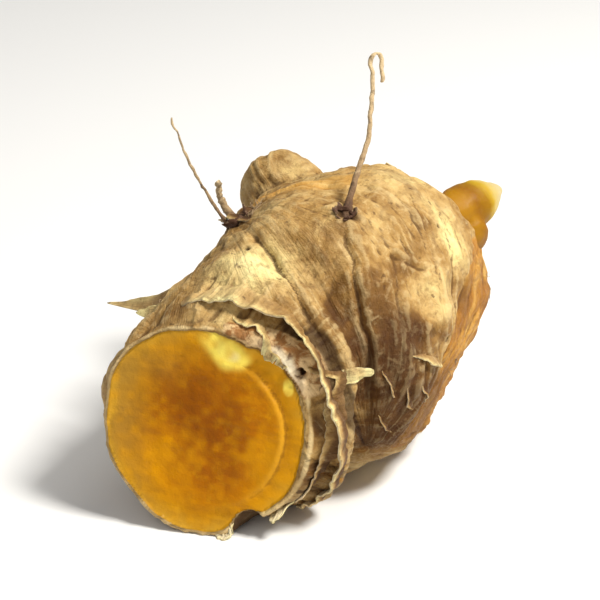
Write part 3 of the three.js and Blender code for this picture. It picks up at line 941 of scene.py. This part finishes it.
def cut_moves(body, points, depth, face):
    """Shapes and paints the cut: a shallow dish with a raised heart, and a ragged lip of skin.

    At the upper right the skin is torn back over the edge of the flesh and shows its lining.
    """
    x, y = (points - CUT_CENTRE) @ CUT_RIGHT, (points - CUT_CENTRE) @ CUT_UP
    turn, far = np.arctan2(y, x), np.hypot(x, y)
    reach = rim_reach(turn, far, depth < 0.35)
    ragged = 0.5 + 0.5 * round_noise(turn, 9, 21)
    torn_back = bell(np.degrees(turn) - 54, 24)
    right_rim = bell(np.degrees(turn) + 6, 34)
    flesh_reach = reach - 2.9 * torn_back * (1 + 0.25 * round_noise(turn, 14, 44))
    flesh_reach = flesh_reach - (0.9 + 0.5 * round_noise(turn, 6, 51)) * right_rim
    over_flesh = far - flesh_reach
    lining = smooth(-0.1, 0.25, over_flesh) * smooth(0.12, 0.3, torn_back) * smooth(2.2, 1.2, depth)
    rho = far / flesh_reach
    right_side = 0.5 + 0.5 * np.cos(turn - 0.15) * smooth(2, 9, far)
    heart_edge = HEART_RADIUS + 0.6 * round_noise(turn, 1.8, 22) + 0.12 * round_noise(turn, 8, 29)

    heart = smooth(heart_edge + 0.5, heart_edge - 0.5, far) * (0.05 + 0.9 * right_side**3)
    dish = heart - 0.7 * smooth(1.0, 0.6, rho)
    dish += ripples(points, (0.34, 7, 23), (0.14, 2.4, 24), (0.05, 1.0, 25))
    dish += 0.05 * ripple(np.stack([x * 0.08 + y * 1.3, y * 0.02, x * 0], 1), 1, 26)
    lip = smooth(0.965, 0.99, far / reach) * (0.1 + 0.9 * ragged**2) * (1 - torn_back)
    crumple = ripples(points, (1, 2.6, 45), (0.4, 1.2, 46)) + 0.9 * np.abs(ripple(points, 1.5, 48))
    move = face * dish * smooth(1.0, 0.97, rho) + 0.6 * lip * smooth(1.2, 0.2, depth)
    move += lining * (0.4 + 0.5 * crumple)

    flesh = face * smooth(1.0, 0.965, rho + 0.015 * ragged) * (1 - lining)
    rim = smooth(0.95, 1.0, far / reach) * (1 - flesh) * (0.15 + 0.85 * ragged)
    rim = np.maximum(rim, right_rim * smooth(0.0, 0.5, over_flesh) * (0.5 + 0.5 * ragged))
    wan = smooth(-9, -17, x + 0.12 * y) + 0.8 * bell(np.hypot(x + 10, y - 13), 4.0)
    # A painted highlight near the top of the flesh, a small painted glint to its right, and a weaker patch
    # beside it.
    across, along = 0.9 * (x - 2.6) - 0.43 * (y - 16.4), 0.43 * (x - 2.6) + 0.9 * (y - 16.4)
    painted_highlight = smooth(4.6, 1.2, np.hypot(across / 1.5, along) + 0.7 * ripple(points, 3, 34))
    glint = np.hypot((x - 15.3) / 0.8, (y - 10.4) / 1.6) + 0.4 * ripple(points, 1.5, 49)
    painted_highlight = 0.8 * np.clip(painted_highlight + 0.9 * smooth(1.7, 0.8, glint), 0, 1)
    painted_highlight += 0.3 * smooth(3.2, 0.4, np.hypot(x - 5.6, y - 14.4) + 0.5 * ripple(points, 2, 50))
    gold = bell(np.hypot((x + 9) / 1.2, y + 5), 5.5) + bell(np.hypot(x - 11, y + 3), 4.5)
    gold += 0.7 * bell(far - 18.5, 1.8) * right_side
    shade = bell(np.hypot(x + 6, y - 8), 7.5) + 0.55 * bell(np.hypot(x + 0.5, y + 1), 4.5)
    shade += 0.4 * bell(np.hypot(x - 2, y + 9), 4.0)
    for name, values in (
        ("flesh", flesh),
        ("lining", lining * smooth(0.1, 0.5, depth + 1.2)),
        # The whiter part of the lining: partly its own pale colour, partly a painted highlight.
        ("white_and_highlight", lining * bell(np.degrees(turn) - 46, 13) * smooth(0.0, 1.2, 2.6 - over_flesh)),
        ("core", np.clip(far / CUT_RADIUS + 0.05 * ripple(points, 6, 27), 0, 1)),
        ("wan", np.clip(wan, 0, 1) * smooth(0.97, 0.88, rho + 0.05 * ripple(points, 4, 33))),
        ("painted_highlight", np.clip(painted_highlight, 0, 1)),
        # A painted highlight along the edge of the raised heart, on its right.
        ("step_highlight", bell(far - heart_edge, 0.7) * right_side**3 * face),
        ("gold", np.clip(gold + 0.5 * ripple(points, 1.6, 47), 0, 1)),
        ("rim", rim * smooth(0.9, 0.3, depth)),
        ("shade", np.clip(shade + 0.25 * ripple(points, 5, 35), 0, 1)),
    ):
        mark(body, name, values)
    return move


def sculpt(body):
    """Moves the body's points into the finished skin and cut, and paints what lies where."""
    points, normals = read_points(body), read_normals(body)
    edges = read(body.data.edges, "vertices", 2, np.int64)
    station, angle, radius = spine_places(points)
    degrees = np.degrees(angle)
    place, open_rings = ring_scale(points, station)
    depth = (CUT_CENTRE - points) @ CUT_NORMAL
    face = smooth(0.75, 0.25, depth) * (normals @ CUT_NORMAL > 0.6)
    skin = 1 - face

    rings, ring_mark = (values * open_rings for values in ring_moves(points, place))
    folds, fold_mark = fold_moves(points, station, angle)
    pits, pit_mark = pit_moves(points, station, angle, radius)
    on_bulb = smooth(-31, -25, station)
    upper = smooth(-40, 0, degrees) * smooth(140, 100, degrees) * open_rings
    swell = 0.8 * bell(place - 17, 9) - 0.9 * bell(place + 1, 2.6) + 0.6 * bell(place - 33, 3.5)
    move = 0.7 * rings * on_bulb + 0.6 * folds + upper * swell + pits
    move += fine_moves(points, place, station, angle) + bud_collar_moves(points)
    scar, peel = bare_places(points, normals, angle, place)
    bare = np.clip(spread(np.maximum(scar * skin, peel), edges, 4), 0, 1)
    torn = 0.12 * ripple(wrapped(place, angle, 9), 1, 17) + 0.06 * ripple(points, 0.9, 18)
    move += bare * (torn - 0.3)
    shoulder = np.maximum(np.cos(angle - math.radians(150)), 0) ** 2
    move += 2.2 * shoulder * smooth(0.5, 6, depth) * smooth(27, 15, depth)
    move *= skin * smooth(TABLE_HEIGHT + 0.1, TABLE_HEIGHT + 2, points[:, 2]) * smooth(0.2, 2.5, depth)
    moved = points + normals * move[:, None]
    moved += CUT_NORMAL * cut_moves(body, points, depth, face)[:, None]
    moved[:, 2] = np.maximum(moved[:, 2], TABLE_HEIGHT)
    write_points(body, moved)

    normals = read_normals(body)
    # How hollow or raised each place is, for the painted shade in hollows and the paler ridges.
    fine_hollow = ((spread(moved, edges, 3) - moved) * normals).sum(1)
    broad_hollow = ((spread(moved, edges, 30) - moved) * normals).sum(1)
    cavity = np.clip(fine_hollow / 0.08, -1, 1) * 0.6 + np.clip(broad_hollow / 0.5, -1, 1) * 0.6
    # Painted shadow in the notch, in the pocket and under the collar's lifted edge.
    notch = np.linalg.norm((points - in_the_cut(*NOTCH, 1.5)) / [1, 1.8, 1.35], axis=1)
    pocket = np.linalg.norm(points - in_the_cut(*POCKET, 1.2), axis=1)
    shadow = smooth(5.0, 4.0, notch) + smooth(2.6, 1.6, pocket)
    shadow += bell(station + 33.2, 1.8) * smooth(32, 42, degrees) * smooth(76, 64, degrees)
    valley = smooth(5.5, 2.5, np.abs(place + 2.5)) * smooth(60, 42, degrees) * smooth(-70, -30, degrees)
    # Painted shade in pits, deep folds, ring grooves and the valley; together with the painted shadow it
    # makes the hollow mark.
    dark = pit_mark + 0.35 * fold_mark * (fold_mark > 0.3) + 0.12 * ring_mark * on_bulb + 0.8 * valley
    for name, values in (
        ("cavity", np.clip(cavity, -1, 1)),
        ("hollow", np.clip(dark * skin + shadow * smooth(0.25, 0.8, depth), 0, 1)),
        ("bare", bare * skin),
        ("worn", worn_band(points, station, angle) * skin),
        ("tone_and_shade", skin_tone_and_shade(points, station, angle, radius) * skin),
        # Painted shade, darker towards the underside.
        ("underside_shade", smooth(-0.1, -0.9, np.sin(angle)) * (0.5 + 0.5 * ripple(points, 11, 28)) * skin),
    ):
        mark(body, name, values)
    mark_vector(body, "ringwise", wrapped(place / SLEEVE_RADIUS, angle))


BODY = make_body()
finish_piece(BODY, SKIN, ["rhizome"])

SKIN_TREE = BVHTree.FromPolygons(
    [tuple(v) for v in read_points(BODY)], [tuple(p.vertices) for p in BODY.data.polygons]
)


def on_skin(station, degrees, lift=0.0):
    """The place on the finished skin at a station and an angle, raised by lift millimetres."""
    at, out = spoke(station, degrees)
    hit = SKIN_TREE.ray_cast(Vector(at), Vector(out), 60)[0]
    return np.array(hit) + out * lift


# ---------------------------------------------------------------- roots

def make_root(node):
    """A root from its CAD solid, roughened, bent a little, and drawn down into its socket."""
    root = welded_copy(node, node + "_stem")
    apply_modifier(root, "SUBSURF", levels=2, render_levels=2)
    points, normals = read_points(root), read_normals(root)
    low = points[np.argmin([Vector(p).length for p in points])]
    reach = np.linalg.norm(points - low, axis=1)
    tipward = reach / reach.max()
    points += normals * ripples(points, (0.1, 1.1, 51), (0.06, 0.5, 52))[:, None]
    run = np.repeat(tipward[:, None] * 9, 3, axis=1)
    bend = np.stack([ripple(run, 1, 60 + i) for i in range(3)], 1)
    points += bend * 0.45 * smooth(0.15, 0.5, tipward)[:, None]
    pull = np.array(SKIN_TREE.find_nearest(Vector(low))[0]) - low
    pull *= 1 + 0.7 / max(np.linalg.norm(pull), 0.05)
    points += pull * smooth(1.8, 0.2, reach)[:, None]
    write_points(root, points)
    mark(root, "tipward", tipward)
    finish_piece(root, ROOT, [node])


for node in sorted(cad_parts):
    if node.startswith("root_"):
        make_root(node)


# ---------------------------------------------------------------- dry sheaths


def skin_radius(station, degrees):
    """How far the skin lies from the spine, measured from outside."""
    at, out = spoke(station, degrees)
    hit = SKIN_TREE.ray_cast(Vector(at + out * 60), Vector(-out), 60)[0]
    radius = 20.0 if hit is None else float((np.array(hit) - at) @ out)
    return at, out, max(radius, 5.0)


def rim_station(degrees):
    """The station at which the skin meets the cut, in a direction round the spine."""
    station = -40.0
    for _ in range(8):
        at, out, radius = skin_radius(station, degrees)
        station -= ((CUT_CENTRE - at - out * radius) @ CUT_NORMAL - 0.5) / 0.85
    return float(station)


def by_the_rim(degrees, behind):
    """A path round the rim, so many millimetres behind the cut, as one amount or one per place."""
    behind = np.broadcast_to(behind, len(degrees))
    return [(rim_station(d) + back, d) for d, back in zip(degrees, behind)]


def body_value(points, name):
    """The body's painted value at the place on the skin nearest to each point."""
    values = read(BODY.data.attributes[name].data, "value", 1)[:, 0]
    faces = [SKIN_TREE.find_nearest(Vector(p))[2] for p in points]
    return np.array([values[BODY.data.polygons[f].vertices[0]] for f in faces])


def along_edge(amounts, along):
    """A single amount, or a list of amounts spaced evenly along an edge."""
    amounts = np.atleast_1d(amounts)
    return np.interp(along, np.linspace(0, 1, len(amounts)), amounts)


def path_at(path, along):
    """Stations and degrees along a path of (station, degrees), from 0 at its start to 1."""
    run = np.linspace(0, 1, len(path))
    return np.interp(along, run, path[:, 0]), np.interp(along, run, path[:, 1])


def both_sides(values):
    """The values of a flat sheet once more for its other side, after it is given a thickness."""
    return np.concatenate([values, values])


def make_sheath(
    name, nodes, base, edge, *, seed, lift, ragged, rows, columns=16, thick=0.26, pleats=0.12,
    taper=0.35, crest=None, curl=0.0, tint=0.0, shade=0.0,
):
    """A torn sheath that leaves the skin along its base and ends at a free edge.

    Base and edge are paths of (station, degrees). A sheath with a crest stands out over a
    hollow, as high as the skin is that many millimetres behind its free edge.
    """
    deselect()
    bpy.ops.mesh.primitive_grid_add(x_subdivisions=columns, y_subdivisions=rows, size=2)
    sheet = bpy.context.object
    sheet.name = name
    sheet.data.name = name
    flat = read(sheet.data.vertices, "co")
    across, along = (flat[:, 0] + 1) / 2, (flat[:, 1] + 1) / 2
    base, edge = np.array(base, float), np.array(edge, float)
    length = 0.4 * np.abs(np.diff(edge[:, 1])).sum() + np.abs(np.diff(edge[:, 0])).sum()
    line = np.stack([along * length, along * 0, along * 0], 1)
    torn = 1 + ragged * ripples(line, (1.4, 6.5, seed), (0.7, 2.2, seed + 1), (0.3, 0.8, seed + 2))
    torn *= np.sin(math.pi * np.clip(along, 0.001, 0.999)) ** taper
    reach = across * np.clip(torn, 0.02, 1.6)
    waves = ripples(line, (1, 5.0, seed + 3), (0.5, 2.0, seed + 4))
    folds = ripples(line, (1, 1.3, seed + 5), (0.6, 0.6, seed + 6))
    height = 0.4 * np.minimum(1.0, 4 * reach) - 0.4 + curl * reach**3
    height += along_edge(lift, along) * reach**1.6 * (1 + 0.2 * waves)
    height += pleats * folds * np.minimum(1.0, 2 * reach)
    base_station, base_degrees = path_at(base, along)
    edge_station, edge_degrees = path_at(edge, along)
    station = base_station + (edge_station - base_station) * reach
    degrees = base_degrees + (edge_degrees - base_degrees) * reach
    points, outs = np.empty((2, len(flat), 3))
    for i in range(len(flat)):
        at, out, radius = skin_radius(station[i], degrees[i])
        if crest is not None:
            low = skin_radius(base_station[i], base_degrees[i])[2]
            high = skin_radius(edge_station[i] + crest, edge_degrees[i])[2]
            radius = max(radius, low + (high - low) * min(1.0, reach[i]) ** 0.8)
        points[i] = at + out * (radius + height[i])
        outs[i] = out
    points[:, 2] = np.maximum(points[:, 2], TABLE_HEIGHT + thick / 2 + 0.05)
    write_points(sheet, points)
    apply_modifier(sheet, "SOLIDIFY", thickness=thick * MM, offset=0.0)

    points = read_points(sheet)
    outward = (read_normals(sheet) * both_sides(outs)).sum(1)
    # The skin's tone, with its painted shade, carried onto the sheath; its dark part only near the base.
    tone_and_shade = body_value(points, "tone_and_shade")
    near_base = both_sides(smooth(1.0, 0.2, across))
    # Painted shade towards the base, by the shade amounts along the edge.
    darker = both_sides(along_edge(shade, along) * smooth(0.85, 0.2, across))
    mark(sheet, "edge", both_sides(across))
    mark(sheet, "inner", smooth(0.2, -0.2, outward))
    mark(sheet, "tint", tint + np.maximum(tone_and_shade, 0) + np.minimum(tone_and_shade, 0) * near_base - darker)
    mark_vector(sheet, "lengthwise", both_sides(np.stack([line[:, 0], reach, along * 0 + seed], 1)))
    station, angle, _radius = spine_places(points)
    mark_vector(sheet, "ringwise", wrapped(ring_scale(points, station)[0] / SLEEVE_RADIUS, angle))
    finish_piece(sheet, SHEATH, nodes)


COLLAR_DEGREES = (110, 97, 82, 67, 53, 39, 23, 5, -15, -36, -58)
COLLAR_BASE = (-33.5, -31.8, -31.6, -31.4, -32.2, -33.4, -34.3, -34.8, -35.8, -37.6, -40.0)
COLLAR_EDGE = (-40.0, -37.4, -36.0, -34.8, -34.9, -35.6, -36.6, -37.6, -39.2, -41.4, -43.4)

make_sheath(
    "collar_outer_sheath", ["collar_outer"],
    [(-38.5, 122), *zip(COLLAR_BASE, COLLAR_DEGREES)],
    [(-45.0, 120), *zip(COLLAR_EDGE, COLLAR_DEGREES)],
    lift=[0.3, 0.5, 0.9, 1.5, 2.5, 2.8, 1.9, 1.2, 1.2, 1.2, 1.1, 1.0],
    shade=[0, 0, 0, 0, 0, 0.3, 0.9, 1.3, 1.1, 0.9, 1.2, 1.2],
    crest=2.2, ragged=0.08, pleats=0.05, thick=0.4, rows=280, columns=28, seed=11, taper=0.2,
)
MIDDLE_DEGREES = (40, 26, 12, -4, -20, -34, -46)
make_sheath(
    "collar_middle_sheath", ["collar_inner"],
    by_the_rim(MIDDLE_DEGREES, 4.6),
    by_the_rim(MIDDLE_DEGREES, 1.6),
    lift=0.7, ragged=0.14, pleats=0.14, thick=0.3, rows=200, columns=20, seed=12, tint=-0.7,
)
TEAR_DEGREES = (94, 86, 78, 70, 62, 54, 46)
make_sheath(
    "rim_tear_sheath", ["collar_tear"],
    by_the_rim(TEAR_DEGREES, 2.8),
    by_the_rim(TEAR_DEGREES, (0.5, 0.5, 0.6, 0.9, 1.4, 1.8, 2.2)),
    lift=[0.2, 0.4, 0.6, 0.7, 0.7, 0.5, 0.3],
    ragged=0.4, pleats=0.16, rows=130, columns=18, seed=13, taper=0.4, tint=0.3,
)
make_sheath(
    "valley_tab", ["collar_tab"],
    [(-32.0, 28), (-33.0, 22)],
    [(-27.0, 19), (-27.8, 14)],
    lift=0.9, crest=1.0, ragged=0.15, rows=36, columns=36, seed=14, taper=0.12, thick=0.45, tint=1.0,
)
BARK_FLAKES = [
    # base, edge, seed and tint
    (
        [(-21.6, 16), (-18.4, 12), (-15.4, 6), (-13.4, -1)],
        [(-22.2, 14), (-19.0, 10), (-16.0, 4), (-14.0, -3)], 61, 0.4,
    ),
    ([(-25.4, 15), (-25.0, 8), (-25.2, 0)], [(-26.1, 14), (-25.7, 7), (-25.9, -1)], 62, -0.5),
    ([(-20.4, 0), (-18.8, -6), (-18.0, -13)], [(-21.6, -1), (-20.0, -7), (-19.2, -14)], 63, -0.5),
    ([(-23.6, 4), (-22.4, -3), (-22.2, -10)], [(-24.8, 3), (-23.6, -4), (-23.4, -11)], 65, -0.5),
    ([(-27.4, -8), (-26.6, -14), (-25.6, -20)], [(-28.2, -9), (-27.4, -15.5), (-26.4, -22)], 67, -0.5),
]
FLAKE = dict(lift=0.8, ragged=0.45, pleats=0.15, rows=60, columns=12, taper=0.6)
for number, (base, edge, seed, tint) in enumerate(BARK_FLAKES, 1):
    make_sheath(f"bark_flake_{number}", [], base, edge, seed=seed, tint=tint, **FLAKE)

SMALL_SHEATHS = [
    (
        "flap_left_sheath", ["flap_left"],
        [(-31.0, 137), (-33.0, 146), (-35.5, 154)],
        [(-32.0, 175), (-34.0, 175), (-36.0, 174)],
        dict(lift=1.2, curl=21, ragged=0.4, pleats=0.3, rows=50, columns=40, seed=15, taper=0.62, tint=-0.4),
    ),
    (
        "curl_left_sheath", ["curl_left"],
        [(-37.0, 144), (-39.5, 147), (-42.0, 150)],
        [(-38.0, 155), (-40.5, 158), (-43.0, 161)],
        dict(lift=1.8, curl=2.4, ragged=0.4, pleats=0.3, rows=50, columns=24, seed=16, taper=0.3, tint=0.3),
    ),
    (
        "curl_low_sheath", ["curl_low"],
        [(-44.6, -38), (-46.0, -44), (-47.2, -50)],
        [(-47.6, -40), (-49.4, -46), (-50.6, -52)],
        dict(lift=1.2, ragged=0.3, rows=50, seed=17, taper=0.5, tint=0.5),
    ),
    (
        "scrap_top_sheath", ["scrap_top"],
        [(-14.5, 119), (-10.0, 124), (-4.5, 131)],
        [(-15.5, 128), (-11.0, 134), (-5.5, 140)],
        dict(lift=1.3, ragged=0.5, rows=60, seed=18, taper=0.7, tint=-0.7),
    ),
    (
        "scrap_back_sheath", ["scrap_back"],
        [(25.0, 80), (24.0, 92), (22.0, 104)],
        [(20.0, 80), (19.0, 92), (18.0, 104)],
        dict(lift=1.0, ragged=0.5, rows=60, seed=19, taper=0.6),
    ),
    (
        "notch_peel", [],
        [(-52.8, -67), (-53.8, -72), (-54.6, -78)],
        [(-54.8, -66), (-56.0, -71), (-57.0, -78)],
        dict(lift=0.5, ragged=0.35, rows=40, seed=20, taper=0.7, tint=1.0),
    ),
]
for *shape, settings in SMALL_SHEATHS:
    make_sheath(*shape, **settings)


# ---------------------------------------------------------------- fibres

FIBRE_SIDES = 5
FIBRE_POINTS = 10


def add_hair(verts, faces, path, thick):
    """A thin dry fibre: a tube along a path that thins towards its end."""
    path = np.asarray(path, float)
    aim = np.gradient(path, axis=0)
    aim /= np.linalg.norm(aim, axis=1)[:, None]
    side = np.cross(aim, [0.3, 0.2, 0.93])
    side /= np.linalg.norm(side, axis=1)[:, None]
    up = np.cross(side, aim)
    start = len(verts)
    for i, centre in enumerate(path):
        size = thick * (1 - 0.75 * i / (len(path) - 1))
        for k in range(FIBRE_SIDES):
            t = 2 * math.pi * k / FIBRE_SIDES
            verts.append(tuple(centre + size * (math.cos(t) * side[i] + math.sin(t) * up[i])))
    for row in range(start, len(verts) - FIBRE_SIDES, FIBRE_SIDES):
        for k in range(FIBRE_SIDES):
            a, b = row + k, row + (k + 1) % FIBRE_SIDES
            faces.append((a, b, b + FIBRE_SIDES, a + FIBRE_SIDES))
    faces.append(tuple(range(start, start + FIBRE_SIDES))[::-1])
    faces.append(tuple(range(len(verts) - FIBRE_SIDES, len(verts))))


FIBRE_PATCHES = [
    # station, degrees, spread, how many, length, heading in degrees from the spine's direction
    (-12.5, 126, 2.6, 14, 4.0, 20),
    (-8.0, 131, 2.2, 8, 4.0, -40),
    (-34.5, 150, 2.0, 5, 4.0, 120),
    (-4.0, -16, 3.0, 5, 3.0, 40),
    (18.0, 8, 4.0, 6, 3.0, 90),
    (6.0, 232, 4.0, 5, 4.0, 60),
]


def make_fibres():
    """Patches of loose fibres, each lying on the skin with its end lifted."""
    verts, faces = [], []
    for place, degrees, wide, count, length, heading in FIBRE_PATCHES:
        for _ in range(count):
            s = place + wide * rng.normal() * 0.6
            a = degrees + wide * rng.normal() * 1.4
            turn = math.radians(heading + 18 * rng.normal())
            long = length * rng.uniform(0.5, 1.2)
            rise = rng.uniform(0.2, 1.3)
            bend = rng.normal() * 0.7
            path = []
            for t in np.linspace(0, 1, FIBRE_POINTS):
                ahead = turn + bend * t * t
                sideways = math.degrees(long * t * math.sin(ahead) / SLEEVE_RADIUS)
                lift = 0.05 + rise * math.sin(math.pi * min(1.0, 0.9 * t + 0.02)) * t
                path.append(on_skin(s + long * t * math.cos(ahead), a - sideways, lift))
            add_hair(verts, faces, path, rng.uniform(0.07, 0.17))
    mesh = bpy.data.meshes.new("loose_fibres")
    mesh.from_pydata([tuple((np.array(v) + BULB_CENTRE) * MM) for v in verts], [], faces)
    piece = bpy.data.objects.new("loose_fibres", mesh)
    bpy.context.scene.collection.objects.link(piece)
    mark(piece, "tipward", np.full(len(verts), 0.35))
    finish_piece(piece, ROOT, [])


make_fibres()


CRUST_SCALES = 13


def make_crust(name, foot, ring, size, stand):
    """Dark dry scales that stand round the foot of a root, given as (station, degrees, lift)."""
    station, degrees, lift = foot
    round_it = np.radians(np.arange(0, 360, 45))
    near = [on_skin(station + 3.5 * math.cos(t), degrees + 9 * math.sin(t)) for t in round_it]
    centre = np.mean(near, axis=0)
    out = unit(*(centre - spine_at(station)[0]))
    centre = centre + out * lift
    side = unit(*np.cross(out, [0.0, 1.0, 0.1]))
    ahead = np.cross(out, side)
    scales = []
    for i in range(CRUST_SCALES):
        turn = 2 * math.pi * (i + 0.4 * rng.normal()) / CRUST_SCALES
        away = side * math.cos(turn) + ahead * math.sin(turn)
        reach = ring * rng.uniform(0.75, 1.2)
        wide = size * rng.uniform(0.7, 1.2)
        tall = stand * rng.uniform(0.5, 1.2)
        lean = away * rng.uniform(0.1, 0.7) * tall
        deselect()
        bpy.ops.mesh.primitive_ico_sphere_add(subdivisions=3, radius=1.0)
        scale = bpy.context.object
        ball = read(scale.data.vertices, "co")
        up = 0.5 + 0.5 * ball[:, 2]
        points = np.outer(ball[:, 0] * wide * (1 - 0.55 * up), np.cross(out, away))
        points += np.outer(ball[:, 1] * 0.3 * size, away)
        points += np.outer(up * tall - 0.3 * size, out) + np.outer(up**2, lean)
        points += centre + away * reach
        points += 0.22 * size * np.stack([ripple(points, 0.9 * size, 90 + k) for k in range(3)], 1)
        write_points(scale, points)
        scales.append(scale)
    deselect()
    for scale in scales:
        scale.select_set(True)
    bpy.context.view_layer.objects.active = scales[0]
    bpy.ops.object.join()
    crust = bpy.context.object
    crust.name = name
    crust.data.name = name
    mark(crust, "tipward", np.full(len(crust.data.vertices), 0.02))
    finish_piece(crust, ROOT, [])


make_crust("long_root_crust", (-13.0, 76.5, 0.7), 1.8, 0.95, 1.4)
make_crust("tuft_crust", (-11.4, 132, 0.2), 2.1, 1.0, 2.2)


# ---------------------------------------------------------------- the shoot bud


def make_bud():
    """The bud and its scales run together in one skin, with a small swelling at its foot."""
    bud = welded_copy("shoot_bud", "shoot_bud_tip")
    bpy.ops.mesh.primitive_uv_sphere_add(segments=48, ring_count=24, radius=1.0)
    foot = bpy.context.object
    foot.scale = Vector((3.0, 3.2, 4.6)) * MM
    foot.rotation_euler = (0.2, 0.5, 0)
    foot.location = (Vector((17.0, 20.6, 12.6)) + Vector(BULB_CENTRE)) * MM
    bpy.ops.object.transform_apply(location=True, rotation=True, scale=True)
    only(bud)
    foot.select_set(True)
    bpy.ops.object.join()
    remesh(bud, BUD_GRAIN)
    apply_modifier(bud, "SMOOTH", factor=0.6, iterations=40)
    points, normals = read_points(bud), read_normals(bud)
    along = (points - BUD_BASE) @ BUD_AIM
    mark(bud, "tipward", np.clip(along / BUD_LENGTH, 0, 1))
    points -= BUD_AIM * (1.2 * smooth(3.0, 0.0, along - along.min()))[:, None]
    axis = BUD_BASE + BUD_AIM * ((points - BUD_BASE) @ BUD_AIM)[:, None]
    full = 0.22 * bell(along - 6.5, 5.5) + 0.1 * bell(along - 12, 3)
    points += (points - axis) * full[:, None]
    points += np.outer(np.maximum(along, 0) ** 1.3, [0.06, -0.01, -0.05])
    points += normals * ripples(points, (0.2, 3, 71), (0.08, 1, 72))[:, None]
    write_points(bud, points)
    finish_piece(bud, BUD, ["shoot_bud", "bud_scale_low", "bud_scale_top"])


make_bud()


# ---------------------------------------------------------------- floor, light and camera

# Each lamp: degrees round the rhizome, degrees up, distance and width in metres, power in watts.
LAMPS = {
    "key": (98, 56, 0.62, 0.16, 5.0),
    "fill": (0, 40, 0.8, 0.6, 0.9),
    "back": (160, 55, 0.8, 0.4, 1.4),
}
LAMP_COLOUR = (1.0, 0.97, 0.92)
SENSOR_WIDTH = 36
LENS_LENGTH = 129.6
CAMERA_PLACE = Vector((0.2068, -0.3453, 0.2159))
CAMERA_AIM = Vector((-0.468, 0.784, -0.415))


def aim_at(holder, place, aim):
    """Places a lamp or a camera in the scene, looking along a direction."""
    bpy.context.scene.collection.objects.link(holder)
    holder.location = place
    holder.rotation_mode = "QUATERNION"
    holder.rotation_quaternion = aim.to_track_quat("-Z", "Y")


def make_studio():
    deselect()
    bpy.ops.mesh.primitive_plane_add(size=6.0, location=(0, 0, 0))
    floor = bpy.context.object
    floor.name = "studio_floor"
    material, d, shader = new_material("floor_paper")
    d.fill(shader, {"Base Color": (0.86, 0.86, 0.85, 1), "Roughness": 0.9})
    floor.data.materials.append(material)

    world = bpy.data.worlds.new("soft_room")
    bpy.context.scene.world = world
    world.use_nodes = True
    background = world.node_tree.nodes["Background"]
    background.inputs["Color"].default_value = (1, 1, 1, 1)
    background.inputs["Strength"].default_value = 0.3

    centre = Vector((0, 0, BULB_CENTRE[2] * MM))
    for name, (azimuth, height, reach, size, power) in LAMPS.items():
        lamp = bpy.data.lights.new(name, "AREA")
        lamp.size = size
        lamp.energy = power
        lamp.color = LAMP_COLOUR
        a, e = math.radians(azimuth), math.radians(height)
        back = Vector((math.sin(a) * math.cos(e), -math.cos(a) * math.cos(e), math.sin(e)))
        aim_at(bpy.data.objects.new(name, lamp), centre + back * reach, -back)


def make_camera():
    data = bpy.data.cameras.new("camera")
    data.sensor_width = SENSOR_WIDTH
    data.lens = LENS_LENGTH
    camera = bpy.data.objects.new("camera", data)
    aim_at(camera, CAMERA_PLACE, CAMERA_AIM)
    bpy.context.scene.camera = camera


make_studio()
make_camera()
bpy.context.scene.view_settings.view_transform = "Standard"
